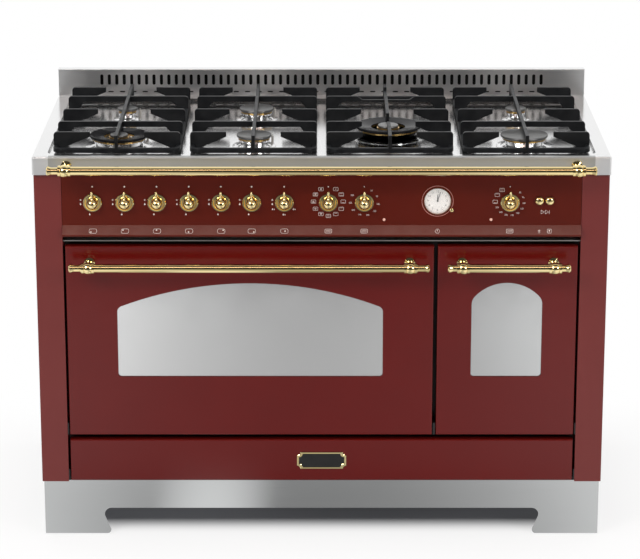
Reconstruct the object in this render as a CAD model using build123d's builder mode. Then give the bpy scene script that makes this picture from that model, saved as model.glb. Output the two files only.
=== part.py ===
from build123d import *
import math
import os

# Range cooker, 1200 mm wide: two ovens, a storage flap and a seven-burner gas hob.
# Millimetres, +Z up, the front faces -Y, the floor is Z = 0 and X = 0 is the middle.

# Envelope of the body
body_w = 1200.0
body_d = 600.0
sheet = 2.0
seam = 1.0

# Heights, stacked from the floor
foot_h = 60.0
plinth_h = 64.0
flap_h = 94.0
door_gap = 11.0
door_h = 419.0
panel_gap = 23.0
lip_h = 24.0
fascia_h = 108.0
apron_h = 39.0
splash_h = 61.0

# Widths across the front
pillar_w = 57.0
door_side_gap = 5.0
mid_gap = 8.0
small_door_w = 294.0

# Depths behind the front plane
door_pan_d = 18.0
door_t = 40.0
frame_gap = 5.0
pillar_return = 70.0
rear_inset = 30.0
lip_flare = 14.0
plinth_inset = 8.0
apron_out = 8.0

# Brass rails on the hob and on the doors
hob_rail_r = 9.5
door_rail_r = 9.0
rail_standoff = 46.0
collar_grow = 4.0
bracket_play = 0.1

# The rail on the hob is what stands out furthest, and the part is centred between it and the back
front_reach = apron_out + rail_standoff + hob_rail_r + collar_grow
back = (body_d + front_reach) / 2
front = back - body_d

# Levels that follow from the stack
half_w = body_w / 2
inner_x = half_w - pillar_w
body_z = foot_h + plinth_h
flap_z0 = body_z + seam
flap_z1 = flap_z0 + flap_h
door_z0 = flap_z1 + door_gap
door_z1 = door_z0 + door_h
lip_z0 = door_z1 + panel_gap
lip_z1 = lip_z0 + lip_h
panel_z1 = lip_z1 + fascia_h
hob_z0 = panel_z1 + seam
hob_z1 = hob_z0 + apron_h
splash_z1 = hob_z1 + splash_h

# Doors, each (left edge, right edge)
door_edge = inner_x - door_side_gap
small_door_x = (door_edge - small_door_w, door_edge)
main_door_x = (-door_edge, small_door_x[0] - mid_gap)

# Front frame and what stands behind it
frame_y = front + door_t + frame_gap
frame_back = frame_y + sheet
ledge_up = 9.0
ledge_in = 8.0
frame_over = 6.0
ledge_z = door_z1 + ledge_up
ledge_front = front + ledge_in
frame_top = ledge_z + frame_over
rear_y = back - rear_inset

# Oven cavities: inner width and height, and the room that the fan's motor takes behind them
main_cavity_w = 640.0
small_cavity_w = 206.0
cavity_h = 370.0
motor_l = 60.0
motor_gap = 31.0
cavity_up = 25.0
cavity_z0 = door_z0 + cavity_up
main_cx = (main_door_x[0] + main_door_x[1]) / 2
small_cx = (small_door_x[0] + small_door_x[1]) / 2
cavity_back = rear_y - motor_gap - motor_l - sheet
rack_levels = (70.0, 190.0)
rack_ledge = 8.0
rack_wire_r = 3.0
rack_play = 3.0
rack_wires = (28, 9)

# Storage space behind the flap
store_side = 18.0
store_drop = 8.0
store_w = 2 * (inner_x - store_side)
store_z0 = body_z + sheet
store_h = flap_z1 - store_drop - store_z0
store_gap = 81.0

# Door hinges: pins along X, close behind the outer skin
hinge_pin_r = 3.0
hinge_play = 0.05
door_hinge_in = 14.0
door_hinge_up = 5.5
flap_hinge_in = 7.0
flap_hinge_up = 7.5
hinge_reach = 16.0
hinge_block = 24.0
hinge_plate_t = 3.0
hinge_plate_h = 26.0
mid_plate_gap = 1.6

# Door windows: arched panes seen through the outer skin
window_up = 131.0
main_window_w = 561.0
main_window_side = 153.0
main_window_rise = 54.0
main_shoulder_r = 14.0
small_window_w = 149.0
small_window_side = 170.0
small_window_rise = 38.0
small_shoulder_r = 26.0
window_corner_r = 7.0
pane_t = 4.0
pane_lap = 14.0

# Door rails: height below the door's top edge, and insets from the door's edges
handle_drop = 35.0
main_handle_inset = 11.0
small_handle_inset = 19.0
bracket_inset = 51.0
hob_rail_half = 567.0
hob_bracket_x = 530.0
hob_rail_drop = 19.0

# Controls on the fascia: X of each axis
burner_knob_x = (-478.0, -411.0, -344.0, -277.0, -210.0, -146.0, -78.0)
selector_x = 14.0
thermostat_x = 89.0
small_knob_x = 393.0
knob_up = 48.0
clock_x = 242.0
clock_up = 51.0
button_x = (454.5, 476.0)
button_up = 52.0
lamp_x = (130.5, 354.0)
lamp_up = 11.0

# Lever knobs
knob_disc_r = 19.5
knob_disc_t = 6.0
knob_ball_r = 11.5
knob_ball_out = 14.0
knob_lever_h = 29.0
spindle_r = 3.0
spindle_play = 0.05
spindle_in = 26.0
knob_lift = 0.5

# Burners: X, distance behind the front plane, cap radius; ring burners have an inner cap too
grate_pitch = 286.0
front_row = 118.0
rear_row = 370.0
wok_row = 205.0
grate_x = tuple(grate_pitch * (i - 1.5) for i in range(4))
plain_burners = (
    (grate_x[0], rear_row, 22.0),
    (grate_x[1], rear_row, 38.0),
    (grate_x[1], front_row, 37.0),
    (grate_x[3], rear_row, 23.0),
    (grate_x[3], front_row, 50.0),
)
ring_burners = (
    (grate_x[0], front_row, 62.0),
    (grate_x[2], wok_row, 71.0),
)

# Cast-iron grates
grate_w = 266.0
grate_l = 505.0
grate_mid = 282.0
grate_top = 36.0
grate_bar = 10.0
grate_blade = 7.0
grate_seat = 0.2
finger_rows = (-216.0, 0.0, 218.0)
bar_rows = (-118.0, 128.0)
finger_len = 76.0

# Plinth with bracket feet
plinth_side_in = 3.0
plinth_rear_in = 20.0
plinth_half = half_w - plinth_side_in
plinth_back = back - plinth_rear_in
skirt_lift = 1.5
toe_w = 146.0
side_toe_w = 96.0
toe_slant = 25.0
toe_round = 8.0
neck_round = 15.0
plinth_flange = 40.0

# Levelling feet under the base tray
pad_r = 22.0
pad_h = 10.0
stem_r = 8.0
foot_in_x = 70.0
foot_in_y = 60.0

# Rear panel: air vents, gas inlet and cable gland
vent_l = 60.0
vent_h = 6.0
vent_pitch_x = 80.0
vent_pitch_z = 16.0
vent_count = (10, 4)
vent_z = 560.0
inlet_x = 515.0
inlet_pipe_r = 8.0
inlet_thread_r = 10.48
inlet_thread_l = 15.0
inlet_play = 1.5
gland_x = -480.0
gland_z = 220.0
gland_r = 12.0
gland_play = 0.1
gland_bore_r = 6.5
gland_nut_r = 17.0
gland_nut_l = 10.0
gland_head_l = 6.0
gland_out = 20.0
tray_in = 26.0
edge_round = 1.5


def slab(x, y, z, mode=Mode.ADD):
    """A box between pairs of limits along X, Y and Z."""
    with Locations(((x[0] + x[1]) / 2, (y[0] + y[1]) / 2, (z[0] + z[1]) / 2)):
        Box(x[1] - x[0], y[1] - y[0], z[1] - z[0], mode=mode)


def facing(y):
    """The upright plane at depth y that looks out of the front: local X is X and local Y is Z."""
    return Plane(origin=(0, y, 0), x_dir=(1, 0, 0), z_dir=(0, -1, 0))


def lathe(x, y, z):
    """The plane of a profile turned about an axis that leaves the front at (x, y, z).
    Its local X is the radius and its local Y points out of the front."""
    return Plane(origin=(x, y, z), x_dir=(1, 0, 0), z_dir=(0, 0, -1))


def out_axis(x, z):
    """The axis that leaves the front at (x, z)."""
    return Axis((x, 0, z), (0, -1, 0))


# Side panels, each a skin with a flat pillar folded round its front
with BuildPart() as side_panels:
    slab((half_w - sheet, half_w), (front, back), (body_z, hob_z0))
    slab((inner_x, half_w), (front, front + sheet), (body_z, hob_z0))
    slab((inner_x, inner_x + sheet), (front, front + pillar_return), (body_z + sheet, hob_z0))
    corner = side_panels.edges().filter_by(Axis.Z).sort_by_distance((half_w, front, hob_z0))[0]
    fillet(corner, radius=edge_round)
    mirror(about=Plane.YZ)

# Rear panel, set in from the back so that the inlets stay within the depth
knob_z = lip_z1 + knob_up
with BuildPart() as rear_panel:
    with BuildSketch(facing(rear_y)):
        with Locations((0, (body_z + hob_z0) / 2)):
            Rectangle(2 * (half_w - sheet), hob_z0 - body_z)
        with Locations((0, vent_z)):
            with GridLocations(vent_pitch_x, vent_pitch_z, *vent_count):
                SlotOverall(vent_l, vent_h, mode=Mode.SUBTRACT)
        with Locations((inlet_x, knob_z)):
            Circle(inlet_thread_r + inlet_play, mode=Mode.SUBTRACT)
        with Locations((gland_x, gland_z)):
            Circle(gland_r + gland_play, mode=Mode.SUBTRACT)
    extrude(amount=-sheet)

# Cable gland: a flanged bush in the rear panel with its nut inside
with BuildPart() as cable_gland:
    with BuildSketch(lathe(gland_x, rear_y, gland_z)):
        with BuildLine():
            Polyline(
                (gland_bore_r, gland_nut_l),
                (gland_nut_r, gland_nut_l),
                (gland_nut_r, 0),
                (gland_r, 0),
                (gland_r, -sheet),
                (gland_nut_r, -sheet),
                (gland_nut_r, -sheet - gland_head_l),
                (gland_r, -sheet - gland_out),
                (gland_bore_r, -sheet - gland_out),
                close=True,
            )
        make_face()
    revolve(axis=out_axis(gland_x, gland_z))

# Base tray that ties the sides, the frame and the rear panel together
with BuildPart() as base_tray:
    slab((sheet - half_w, half_w - sheet), (front + tray_in, rear_y), (body_z, body_z + sheet))

# Plinth: a folded skirt on three sides, cut to bracket feet
with BuildPart() as plinth:
    with BuildSketch(facing(front + plinth_inset)):
        with BuildLine():
            toe_x = -plinth_half + toe_w
            Polyline(
                (0, body_z),
                (-plinth_half, body_z),
                (-plinth_half, skirt_lift),
                (toe_x, skirt_lift),
                (toe_x - toe_slant, foot_h),
                (0, foot_h),
                close=True,
            )
        make_face()
        fillet(vertices().group_by(Axis.Y)[1].sort_by(Axis.X)[0], radius=neck_round)
        fillet(vertices().group_by(Axis.Y)[0].sort_by(Axis.X)[-1], radius=toe_round)
        mirror(about=Plane.YZ)
    extrude(amount=-sheet)
    skirt_y = (front + plinth_inset, plinth_back)
    with BuildSketch(Plane(origin=(plinth_half, 0, 0), x_dir=(0, 1, 0), z_dir=(1, 0, 0))):
        with BuildLine():
            Polyline(
                (skirt_y[0], body_z),
                (skirt_y[0], skirt_lift),
                (skirt_y[0] + side_toe_w, skirt_lift),
                (skirt_y[0] + side_toe_w - toe_slant, foot_h),
                (skirt_y[1] - side_toe_w + toe_slant, foot_h),
                (skirt_y[1] - side_toe_w, skirt_lift),
                (skirt_y[1], skirt_lift),
                (skirt_y[1], body_z),
                close=True,
            )
        make_face()
        fillet(vertices().group_by(Axis.Y)[1], radius=neck_round)
        fillet(vertices().group_by(Axis.Y)[0].sort_by(Axis.X)[1:3], radius=toe_round)
    skirt_side = extrude(amount=-sheet)
    mirror(skirt_side, about=Plane.YZ)
    flange_y = (skirt_y[0], skirt_y[0] + plinth_flange)
    slab((-plinth_half, plinth_half), flange_y, (body_z - sheet, body_z))

# Levelling feet
with BuildPart() as levelling_feet:
    foot_y = (skirt_y[0] + foot_in_y, plinth_back - foot_in_y)
    with Locations((0, (foot_y[0] + foot_y[1]) / 2, 0)):
        with GridLocations(2 * (half_w - foot_in_x), foot_y[1] - foot_y[0], 2, 2):
            Cylinder(pad_r, pad_h, align=(Align.CENTER, Align.CENTER, Align.MIN))
            Cylinder(stem_r, body_z, align=(Align.CENTER, Align.CENTER, Align.MIN))

# Front frame with the mouths of both ovens and of the storage space, and a ledge over the doors
with BuildPart() as front_frame:
    mouth_z = cavity_z0 + cavity_h / 2
    store_mid = store_z0 + store_h / 2
    with BuildSketch(facing(frame_y)):
        with Locations((0, (body_z + sheet + frame_top) / 2)):
            Rectangle(2 * inner_x, frame_top - body_z - sheet)
        with Locations((main_cx, mouth_z)):
            Rectangle(main_cavity_w, cavity_h, mode=Mode.SUBTRACT)
        with Locations((small_cx, mouth_z)):
            Rectangle(small_cavity_w, cavity_h, mode=Mode.SUBTRACT)
        with Locations((0, store_mid)):
            Rectangle(store_w, store_h - 2 * sheet, mode=Mode.SUBTRACT)
    extrude(amount=-sheet)
    slab((-inner_x, inner_x), (ledge_front, frame_y), (ledge_z, ledge_z + sheet))

# Storage box behind the flap, open to the front
with BuildPart() as storage_box:
    store_x = store_w / 2
    store_y1 = rear_y - store_gap - sheet
    store_out = store_x + sheet
    slab((-store_out, store_out), (frame_back, store_y1 + sheet), (store_z0, store_z0 + store_h))
    store_in_z = (store_z0 + sheet, store_z0 + store_h - sheet)
    slab((-store_x, store_x), (frame_back, store_y1), store_in_z, mode=Mode.SUBTRACT)

# Control panel: fascia, flared lower lip and returns
panel_side_gap = 0.8
panel_half = inner_x - panel_side_gap
panel_return = 40.0
panel_bend = 3.0
spindle_hole = 1.5

# Push buttons, clock and lamps share these sizes with their holes in the panel
button_r = 9.6
button_play = 0.5
clock_case_r = 28.5
clock_hole_play = 0.2
set_knob_off = (29.5, -18.5)
set_stem_r = 1.5
lens_r = 3.0

# Hob top
hob_over = 2.0
hob_half = half_w + hob_over
hob_flange = 14.0
hob_bend = 4.0
recess_d = 7.0
recess_side = 30.0
recess_front = 16.0
recess_back = 55.0
recess_corner = 18.0
tray_z = hob_z1 - recess_d
throat_r = 14.0
throat_play = 1.5

# Backsplash
splash_t = 22.0
slot_count = 60
slot_pitch = 17.0
slot_w = 7.0
slot_h = 24.0
slot_up = 37.0
drip_count = 40
drip_pitch = 26.0
drip_l = 12.0
drip_h = 3.0
drip_up = 9.0

# Rail brackets and finials
collar_l = 26.0
rosette_r = 11.0
rosette_t = 3.0
rosette_slope = 2.0
post_gap = 1.0
post_r = 5.5
post_ball_r = 8.5
finial_l = 24.0
finial_neck = 0.84
neck_step = 1.0
finial_bell = 1.08
bell_l = 11.0
bell_edge = 2.5
bead_w = 5.0
bead_h = 2.4
bead_foot = 1.4

with BuildPart() as control_panel:
    with BuildSketch(Plane.YZ.offset(-panel_half)) as panel_section:
        with BuildLine():
            Polyline(
                (front + panel_return, panel_z1),
                (front, panel_z1),
                (front, lip_z1),
                (front - lip_flare, lip_z0),
                (front + panel_return, lip_z0),
                close=True,
            )
        make_face()
        fillet(vertices().sort_by(Axis.X)[:3], radius=panel_bend)
    extrude(amount=2 * panel_half)
    with BuildSketch(Plane.YZ.offset(sheet - panel_half)):
        add(panel_section.sketch_local)
        offset(amount=-sheet, kind=Kind.INTERSECTION)
        with Locations((front + panel_return, (lip_z0 + panel_z1) / 2)):
            Rectangle(panel_return, panel_z1 - lip_z0 - 2 * sheet)
    extrude(amount=2 * (panel_half - sheet), mode=Mode.SUBTRACT)
    with BuildSketch(facing(front)):
        with Locations(*[(x, knob_z) for x in (*burner_knob_x, selector_x, thermostat_x, small_knob_x)]):
            Circle(spindle_r + spindle_hole)
        with Locations(*[(x, lip_z1 + button_up) for x in button_x]):
            Circle(button_r + button_play)
        with Locations((clock_x, lip_z1 + clock_up)):
            Circle(clock_case_r + clock_hole_play)
            with Locations(set_knob_off):
                Circle(set_stem_r + spindle_hole)
        with Locations(*[(x, lip_z1 + lamp_up) for x in lamp_x]):
            Circle(lens_r + clock_hole_play)
    extrude(amount=-sheet, mode=Mode.SUBTRACT)

# Hob top: a pressed sheet with a front apron, a flange underneath and a recessed tray
hob_y = (front - apron_out, back)
recess_y = (front + recess_front, back - recess_back)
recess_x = hob_half - recess_side
burners = plain_burners + ring_burners
with BuildPart() as hob_top:
    slab((-hob_half, hob_half), hob_y, (hob_z0, hob_z1))
    fillet(hob_top.edges().filter_by(Axis.Z).group_by(Axis.Y)[0], radius=hob_bend)
    fillet(hob_top.faces().sort_by(Axis.Z)[-1].edges().sort_by(Axis.Y)[:-1], radius=hob_bend)
    room_x = hob_half - hob_bend
    room_y = (hob_y[0] + hob_bend, hob_y[1] - sheet)
    slab((-room_x, room_x), room_y, (hob_z0 + sheet, hob_z1 - hob_bend), mode=Mode.SUBTRACT)
    gap_x = hob_half - hob_flange
    gap_y = (hob_y[0] + hob_flange, hob_y[1] - hob_flange)
    slab((-gap_x, gap_x), gap_y, (hob_z0, hob_z0 + sheet), mode=Mode.SUBTRACT)
    tray_plane = Plane.XY.offset(tray_z - sheet)
    tray_mid = (recess_y[0] + recess_y[1]) / 2
    tray_size = (2 * recess_x, recess_y[1] - recess_y[0])
    with BuildSketch(tray_plane):
        with Locations((0, tray_mid)):
            RectangleRounded(tray_size[0] + 2 * sheet, tray_size[1] + 2 * sheet, recess_corner + sheet)
    extrude(amount=recess_d)
    with BuildSketch(Plane.XY.offset(tray_z)):
        with Locations((0, tray_mid)):
            RectangleRounded(*tray_size, recess_corner)
    extrude(amount=recess_d, mode=Mode.SUBTRACT)
    with BuildSketch(Plane.XY.offset(tray_z)):
        with Locations(*[(x, front + depth) for x, depth, cap_r in burners]):
            Circle(throat_r + throat_play)
    extrude(amount=-sheet, mode=Mode.SUBTRACT)

# Backsplash: a folded channel across the back of the hob, with a row of upright slots
with BuildPart() as backsplash:
    splash_y = back - splash_t
    slab((-half_w, half_w), (splash_y, back), (hob_z1, splash_z1))
    fillet(backsplash.faces().sort_by(Axis.Z)[-1].edges().sort_by(Axis.Y)[0], radius=edge_round)
    hollow_x = half_w - sheet
    hollow_y = (splash_y + sheet, back - sheet)
    slab((-hollow_x, hollow_x), hollow_y, (hob_z1, splash_z1 - sheet), mode=Mode.SUBTRACT)
    with BuildSketch(facing(splash_y)):
        with Locations((0, hob_z1 + slot_up)):
            with GridLocations(slot_pitch, 0, slot_count, 1):
                SlotOverall(slot_h, slot_w, rotation=90)
        with Locations((0, hob_z1 + drip_up)):
            with GridLocations(drip_pitch, 0, drip_count, 1):
                SlotOverall(drip_l, drip_h)
    extrude(amount=-sheet, mode=Mode.SUBTRACT)


def brass_rail(mid_x, half_len, bracket_half, mount_y, z, r):
    """A turned rail along X with flared ends, and the two brackets that carry it."""
    axis_y = mount_y - rail_standoff
    rail_axis = Axis((mid_x, axis_y, z), (1, 0, 0))
    rail_plane = Plane(origin=(mid_x, axis_y, z), x_dir=(1, 0, 0), z_dir=(0, -1, 0))
    neck_x = half_len - finial_l
    bell_x = half_len - bell_l
    rim_x = half_len - bell_edge
    neck_r = finial_neck * r
    bell_r = finial_bell * r
    bore = r + bracket_play
    with BuildPart() as rail:
        with BuildSketch(rail_plane):
            with BuildLine():
                Polyline(
                    (half_len, 0),
                    (0, 0),
                    (0, r),
                    (neck_x, r),
                    (neck_x + neck_step, neck_r),
                    (bell_x, neck_r),
                )
                Spline((bell_x, neck_r), (rim_x, bell_r), tangents=((1, 0), (1, 0)))
                Line((rim_x, bell_r), (half_len, bell_r - bell_edge))
                Line((half_len, bell_r - bell_edge), (half_len, 0))
            make_face()
        revolve(axis=rail_axis)
        with BuildSketch(rail_plane):
            with BuildLine():
                left = bracket_half - collar_l / 2
                right = bracket_half + collar_l / 2
                foot_left = (left + bead_w, bore + bead_foot)
                foot_right = (right - bead_w, bore + bead_foot)
                Polyline(
                    foot_left,
                    (left + bead_w, bore + bead_h),
                    (left, bore + bead_h),
                    (left, bore),
                    (right, bore),
                    (right, bore + bead_h),
                    (right - bead_w, bore + bead_h),
                    foot_right,
                )
                ThreePointArc(foot_right, (bracket_half, r + collar_grow), foot_left)
            make_face()
        revolve(axis=rail_axis)
        with BuildSketch(lathe(mid_x + bracket_half, mount_y, z)):
            post_end = rail_standoff - r - post_gap
            ball_mid = post_end - post_ball_r
            with BuildLine():
                Polyline(
                    (0, 0),
                    (rosette_r, 0),
                    (rosette_r, rosette_t),
                    (post_r, rosette_t + rosette_slope),
                    (post_r, ball_mid),
                    (post_r, post_end),
                    (0, post_end),
                    close=True,
                )
            make_face()
            with Locations((0, ball_mid)):
                Circle(post_ball_r)
            with Locations((-post_ball_r, ball_mid)):
                Rectangle(2 * post_ball_r, 3 * post_ball_r, mode=Mode.SUBTRACT)
        revolve(axis=out_axis(mid_x + bracket_half, z))
        mirror(about=Plane.YZ.offset(mid_x))
    return rail.part


# Rail along the front of the hob
apron_y = front - apron_out
hob_rail = brass_rail(0, hob_rail_half, hob_bracket_x, apron_y, hob_z1 - hob_rail_drop, hob_rail_r)

# Convection fan, its cover and its motor
fan_r = 78.0
fan_disc_y = 12.0
fan_blade_d = 26.0
fan_blades = 10
fan_hub_r = 12.0
fan_blade_at = 51.5
fan_blade_l = 43.7
fan_blade_turn = 25.0
fan_shaft_r = 4.0
fan_shaft_gap = 4.0
fan_hole_r = 9.0
motor_r = 38.0
motor_bore = 46.0
motor_chamfer = 4.0
cover_w = 260.0
cover_d = 50.0
cover_corner = 30.0
cover_round = 8.0
cover_slots = 16
cover_slot_at = 62.0
cover_slot_l = 54.0
cover_slot_w = 8.0

# Heating elements, oven lamps and door seals
element_r = 3.5
element_play = 0.4
element_bend = 24.0
element_drop = 22.0
element_front = 60.0
element_tail = 15.0
element_collar_r = 9.0
lamp_in_x = 58.0
lamp_drop = 62.0
lamp_glass_r = 20.0
lamp_glass_l = 16.0
lamp_glass_rim = 3.0
lamp_base_r = 11.5
lamp_base_l = 20.0
lamp_play = 0.3
seal_w = 10.0
seal_off = 4.0
seal_play = 0.3

ovens = ((main_cx, main_cavity_w), (small_cx, small_cavity_w))


def element_points(cx, width):
    """The route of a grill element: straight legs under the oven's roof, joined front and back."""
    legs = 4 if width > cover_w else 2
    span = width - 4 * element_bend
    z = cavity_z0 + cavity_h - element_drop
    y_front = frame_back + element_front
    y_turn = cavity_back - element_front
    xs = [cx - span / 2 + span * i / (legs - 1) for i in range(legs)]
    ends = [cavity_back + element_tail] + [y_turn] * (legs - 2) + [cavity_back + element_tail]
    points = []
    for i, x in enumerate(xs):
        pair = [(x, ends[i], z), (x, y_front, z)]
        points += pair if i % 2 == 0 else pair[::-1]
    return points


def oven_cavity(cx, width, fan):
    """An enamelled oven box, open to the front, with ledges for the racks and holes in its rear wall."""
    wall_x = width / 2
    lamp_place = (cx + wall_x - lamp_in_x, cavity_z0 + cavity_h - lamp_drop)
    route = element_points(cx, width)
    with BuildPart() as cavity:
        roof_z = cavity_z0 + cavity_h
        slab(
            (cx - wall_x - sheet, cx + wall_x + sheet),
            (frame_back, cavity_back + sheet),
            (cavity_z0 - sheet, roof_z + sheet),
        )
        slab((cx - wall_x, cx + wall_x), (frame_back, cavity_back), (cavity_z0, roof_z), mode=Mode.SUBTRACT)
        for level in rack_levels:
            ledge = (cavity_z0 + level - rack_ledge, cavity_z0 + level)
            slab((cx - wall_x, cx - wall_x + rack_ledge), (frame_back + rack_ledge, cavity_back), ledge)
            slab((cx + wall_x - rack_ledge, cx + wall_x), (frame_back + rack_ledge, cavity_back), ledge)
        with BuildSketch(facing(cavity_back)):
            if fan:
                with Locations((cx, mouth_z)):
                    Circle(fan_hole_r)
            with Locations(lamp_place):
                Circle(lamp_base_r + lamp_play)
            with Locations((route[0][0], route[0][2]), (route[-1][0], route[-1][2])):
                Circle(element_r + element_play)
        extrude(amount=-sheet, mode=Mode.SUBTRACT)
    return cavity.part


main_oven_cavity = oven_cavity(*ovens[0], fan=True)
small_oven_cavity = oven_cavity(*ovens[1], fan=False)

# Wire racks on the ledges: two in the main oven and one in the small one
with BuildPart() as oven_racks:
    rack_y = (frame_back + 3 * rack_ledge, cavity_back - cover_d - rack_ledge)
    bar = 2 * rack_wire_r
    for cx, width, level, wires in (
        (*ovens[0], rack_levels[0], rack_wires[0]),
        (*ovens[0], rack_levels[1], rack_wires[0]),
        (*ovens[1], rack_levels[0], rack_wires[1]),
    ):
        rack_x = (cx - width / 2 + rack_play, cx + width / 2 - rack_play)
        rack_z = (cavity_z0 + level, cavity_z0 + level + bar)
        slab(rack_x, rack_y, rack_z)
        inner_rack_x = (rack_x[0] + bar, rack_x[1] - bar)
        slab(inner_rack_x, (rack_y[0] + bar, rack_y[1] - bar), rack_z, mode=Mode.SUBTRACT)
        with BuildSketch(facing(rack_y[0] + rack_wire_r)):
            with Locations((cx, rack_z[0] + rack_wire_r)):
                with GridLocations((inner_rack_x[1] - inner_rack_x[0]) / (wires + 1), 0, wires, 1):
                    Circle(rack_wire_r / 2)
        extrude(amount=rack_y[0] - rack_y[1] + bar)

# Grill elements under the roofs
with BuildPart() as oven_elements:
    for cx, width in ovens:
        route = element_points(cx, width)
        with BuildLine():
            FilletPolyline(*route, radius=element_bend)
        with BuildSketch(Plane(origin=route[0], z_dir=(0, -1, 0))):
            Circle(element_r)
        sweep()
        with BuildSketch(facing(cavity_back)):
            with Locations((route[0][0], route[0][2]), (route[-1][0], route[-1][2])):
                Circle(element_collar_r)
        extrude(amount=sheet)

# Oven lamps: a glass dome inside and a base through the rear wall
with BuildPart() as oven_lamps:
    for cx, width in ovens:
        lamp_cx = cx + width / 2 - lamp_in_x
        lamp_z = cavity_z0 + cavity_h - lamp_drop
        with BuildSketch(lathe(lamp_cx, cavity_back, lamp_z)):
            with BuildLine():
                rim = (lamp_glass_r, lamp_glass_rim)
                crest = (0, lamp_glass_l)
                Polyline(
                    crest,
                    (0, -lamp_base_l),
                    (lamp_base_r, -lamp_base_l),
                    (lamp_base_r, 0),
                    (lamp_glass_r, 0),
                    rim,
                )
                Spline(rim, crest, tangents=((0, 1), (-1, 0)))
            make_face()
        revolve(axis=out_axis(lamp_cx, lamp_z))

# Convection fan of the main oven on its shaft
with BuildPart() as convection_fan:
    disc_y = cavity_back - fan_disc_y
    with BuildSketch(facing(disc_y)):
        with Locations((main_cx, mouth_z)):
            Circle(fan_r)
    extrude(amount=sheet)
    with BuildSketch(facing(disc_y - sheet)):
        with Locations((main_cx, mouth_z)):
            Circle(fan_hub_r)
            with PolarLocations(fan_blade_at, fan_blades):
                Rectangle(fan_blade_l, sheet, rotation=fan_blade_turn)
    extrude(amount=fan_blade_d)
    with BuildSketch(facing(disc_y)):
        with Locations((main_cx, mouth_z)):
            Circle(fan_shaft_r)
    extrude(amount=-(fan_disc_y + sheet + motor_bore - fan_shaft_gap))

# Fan motor behind the rear wall
with BuildPart() as fan_motor:
    with BuildSketch(facing(cavity_back + sheet)):
        with Locations((main_cx, mouth_z)):
            Circle(motor_r)
    extrude(amount=-motor_l)
    chamfer(fan_motor.faces().sort_by(Axis.Y)[-1].edges(), length=motor_chamfer)
    with BuildSketch(facing(cavity_back + sheet)):
        with Locations((main_cx, mouth_z)):
            Circle(fan_shaft_r + spindle_play)
    extrude(amount=-motor_bore, mode=Mode.SUBTRACT)

# Fan cover: a slotted pan on the rear wall
with BuildPart() as fan_cover:
    cover_x = (main_cx - cover_w / 2, main_cx + cover_w / 2)
    cover_z = (mouth_z - cover_w / 2, mouth_z + cover_w / 2)
    slab(cover_x, (cavity_back - cover_d, cavity_back), cover_z)
    fillet(fan_cover.edges().filter_by(Axis.Y), radius=cover_corner)
    cover_front = fan_cover.faces().sort_by(Axis.Y)[0]
    fillet(cover_front.edges(), radius=cover_round)
    offset(amount=-sheet, openings=fan_cover.faces().sort_by(Axis.Y)[-1])
    with BuildSketch(facing(cavity_back - cover_d)):
        with Locations((main_cx, mouth_z)):
            with PolarLocations(cover_slot_at, cover_slots):
                SlotOverall(cover_slot_l, cover_slot_w)
    extrude(amount=-sheet, mode=Mode.SUBTRACT)

# Seals round the mouths of the ovens, on the frame
with BuildPart() as door_seals:
    with BuildSketch(facing(frame_y)):
        for cx, width in ovens:
            with Locations((cx, mouth_z)):
                outer = 2 * (seal_off + seal_w)
                Rectangle(width + outer, cavity_h + outer)
                Rectangle(width + 2 * seal_off, cavity_h + 2 * seal_off, mode=Mode.SUBTRACT)
    extrude(amount=frame_gap - seal_play)

# Hinge plates on the frame, with the pins that the doors and the flap turn on
door_hinge = (front + door_hinge_in, door_z0 + door_hinge_up)
flap_hinge = (front + flap_hinge_in, flap_z0 + flap_hinge_up)
with BuildPart() as door_hinges:
    mid_plate = (main_door_x[1] + mid_plate_gap, small_door_x[0] - mid_plate_gap)
    side_plates = ((-inner_x, hinge_plate_t - inner_x), (inner_x - hinge_plate_t, inner_x))
    for plate_x in (*side_plates, mid_plate):
        slab(plate_x, (front + sheet, frame_y), (door_z0, door_z0 + hinge_plate_h))
    for plate_x in side_plates:
        slab(plate_x, (front + sheet, frame_y), (flap_z0 + sheet, flap_z0 + hinge_plate_h))
    for face_x, hinge, edge_x in (
        (side_plates[0][1], door_hinge, main_door_x[0] + hinge_reach),
        (mid_plate[0], door_hinge, main_door_x[1] - hinge_reach),
        (mid_plate[1], door_hinge, small_door_x[0] + hinge_reach),
        (side_plates[1][0], door_hinge, small_door_x[1] - hinge_reach),
        (side_plates[0][1], flap_hinge, -door_edge + hinge_reach),
        (side_plates[1][0], flap_hinge, door_edge - hinge_reach),
    ):
        with BuildSketch(Plane.YZ.offset(face_x)):
            with Locations(hinge):
                Circle(hinge_pin_r)
        extrude(amount=edge_x - face_x)

# Door build-up
skin_edge = 3.0
skin_round = 2.5
pan_flange = 16.0
liner_in_x = 10.0
liner_low = 12.0
liner_high = 6.0
liner_window_in = 22.0
liner_window_r = 16.0
flap_t = 20.0
flap_roll = 5.5


def arch(plane, width, side, rise, shoulder_r, grow=0.0):
    """An arched window: straight sides, a shallow round top and softened corners."""
    with BuildSketch(plane) as pane:
        with BuildLine():
            Polyline((-width / 2, side), (-width / 2, 0), (width / 2, 0), (width / 2, side))
            ThreePointArc((width / 2, side), (0, side + rise), (-width / 2, side))
        make_face()
        fillet(pane.vertices().group_by(Axis.Y)[0], radius=window_corner_r)
        fillet(pane.vertices().group_by(Axis.Y)[-1], radius=shoulder_r)
        if grow:
            offset(amount=grow)
    return pane.sketch


def hinge_bores(span, hinge):
    """Bores for the hinge pins, from both ends of a door that spans the X limits."""
    for face_x, depth in ((span[0], hinge_block), (span[1], -hinge_block)):
        with BuildSketch(Plane.YZ.offset(face_x)) as bore:
            with Locations(hinge):
                Circle(hinge_pin_r + hinge_play)
        extrude(bore.sketch, amount=depth, mode=Mode.SUBTRACT)


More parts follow.
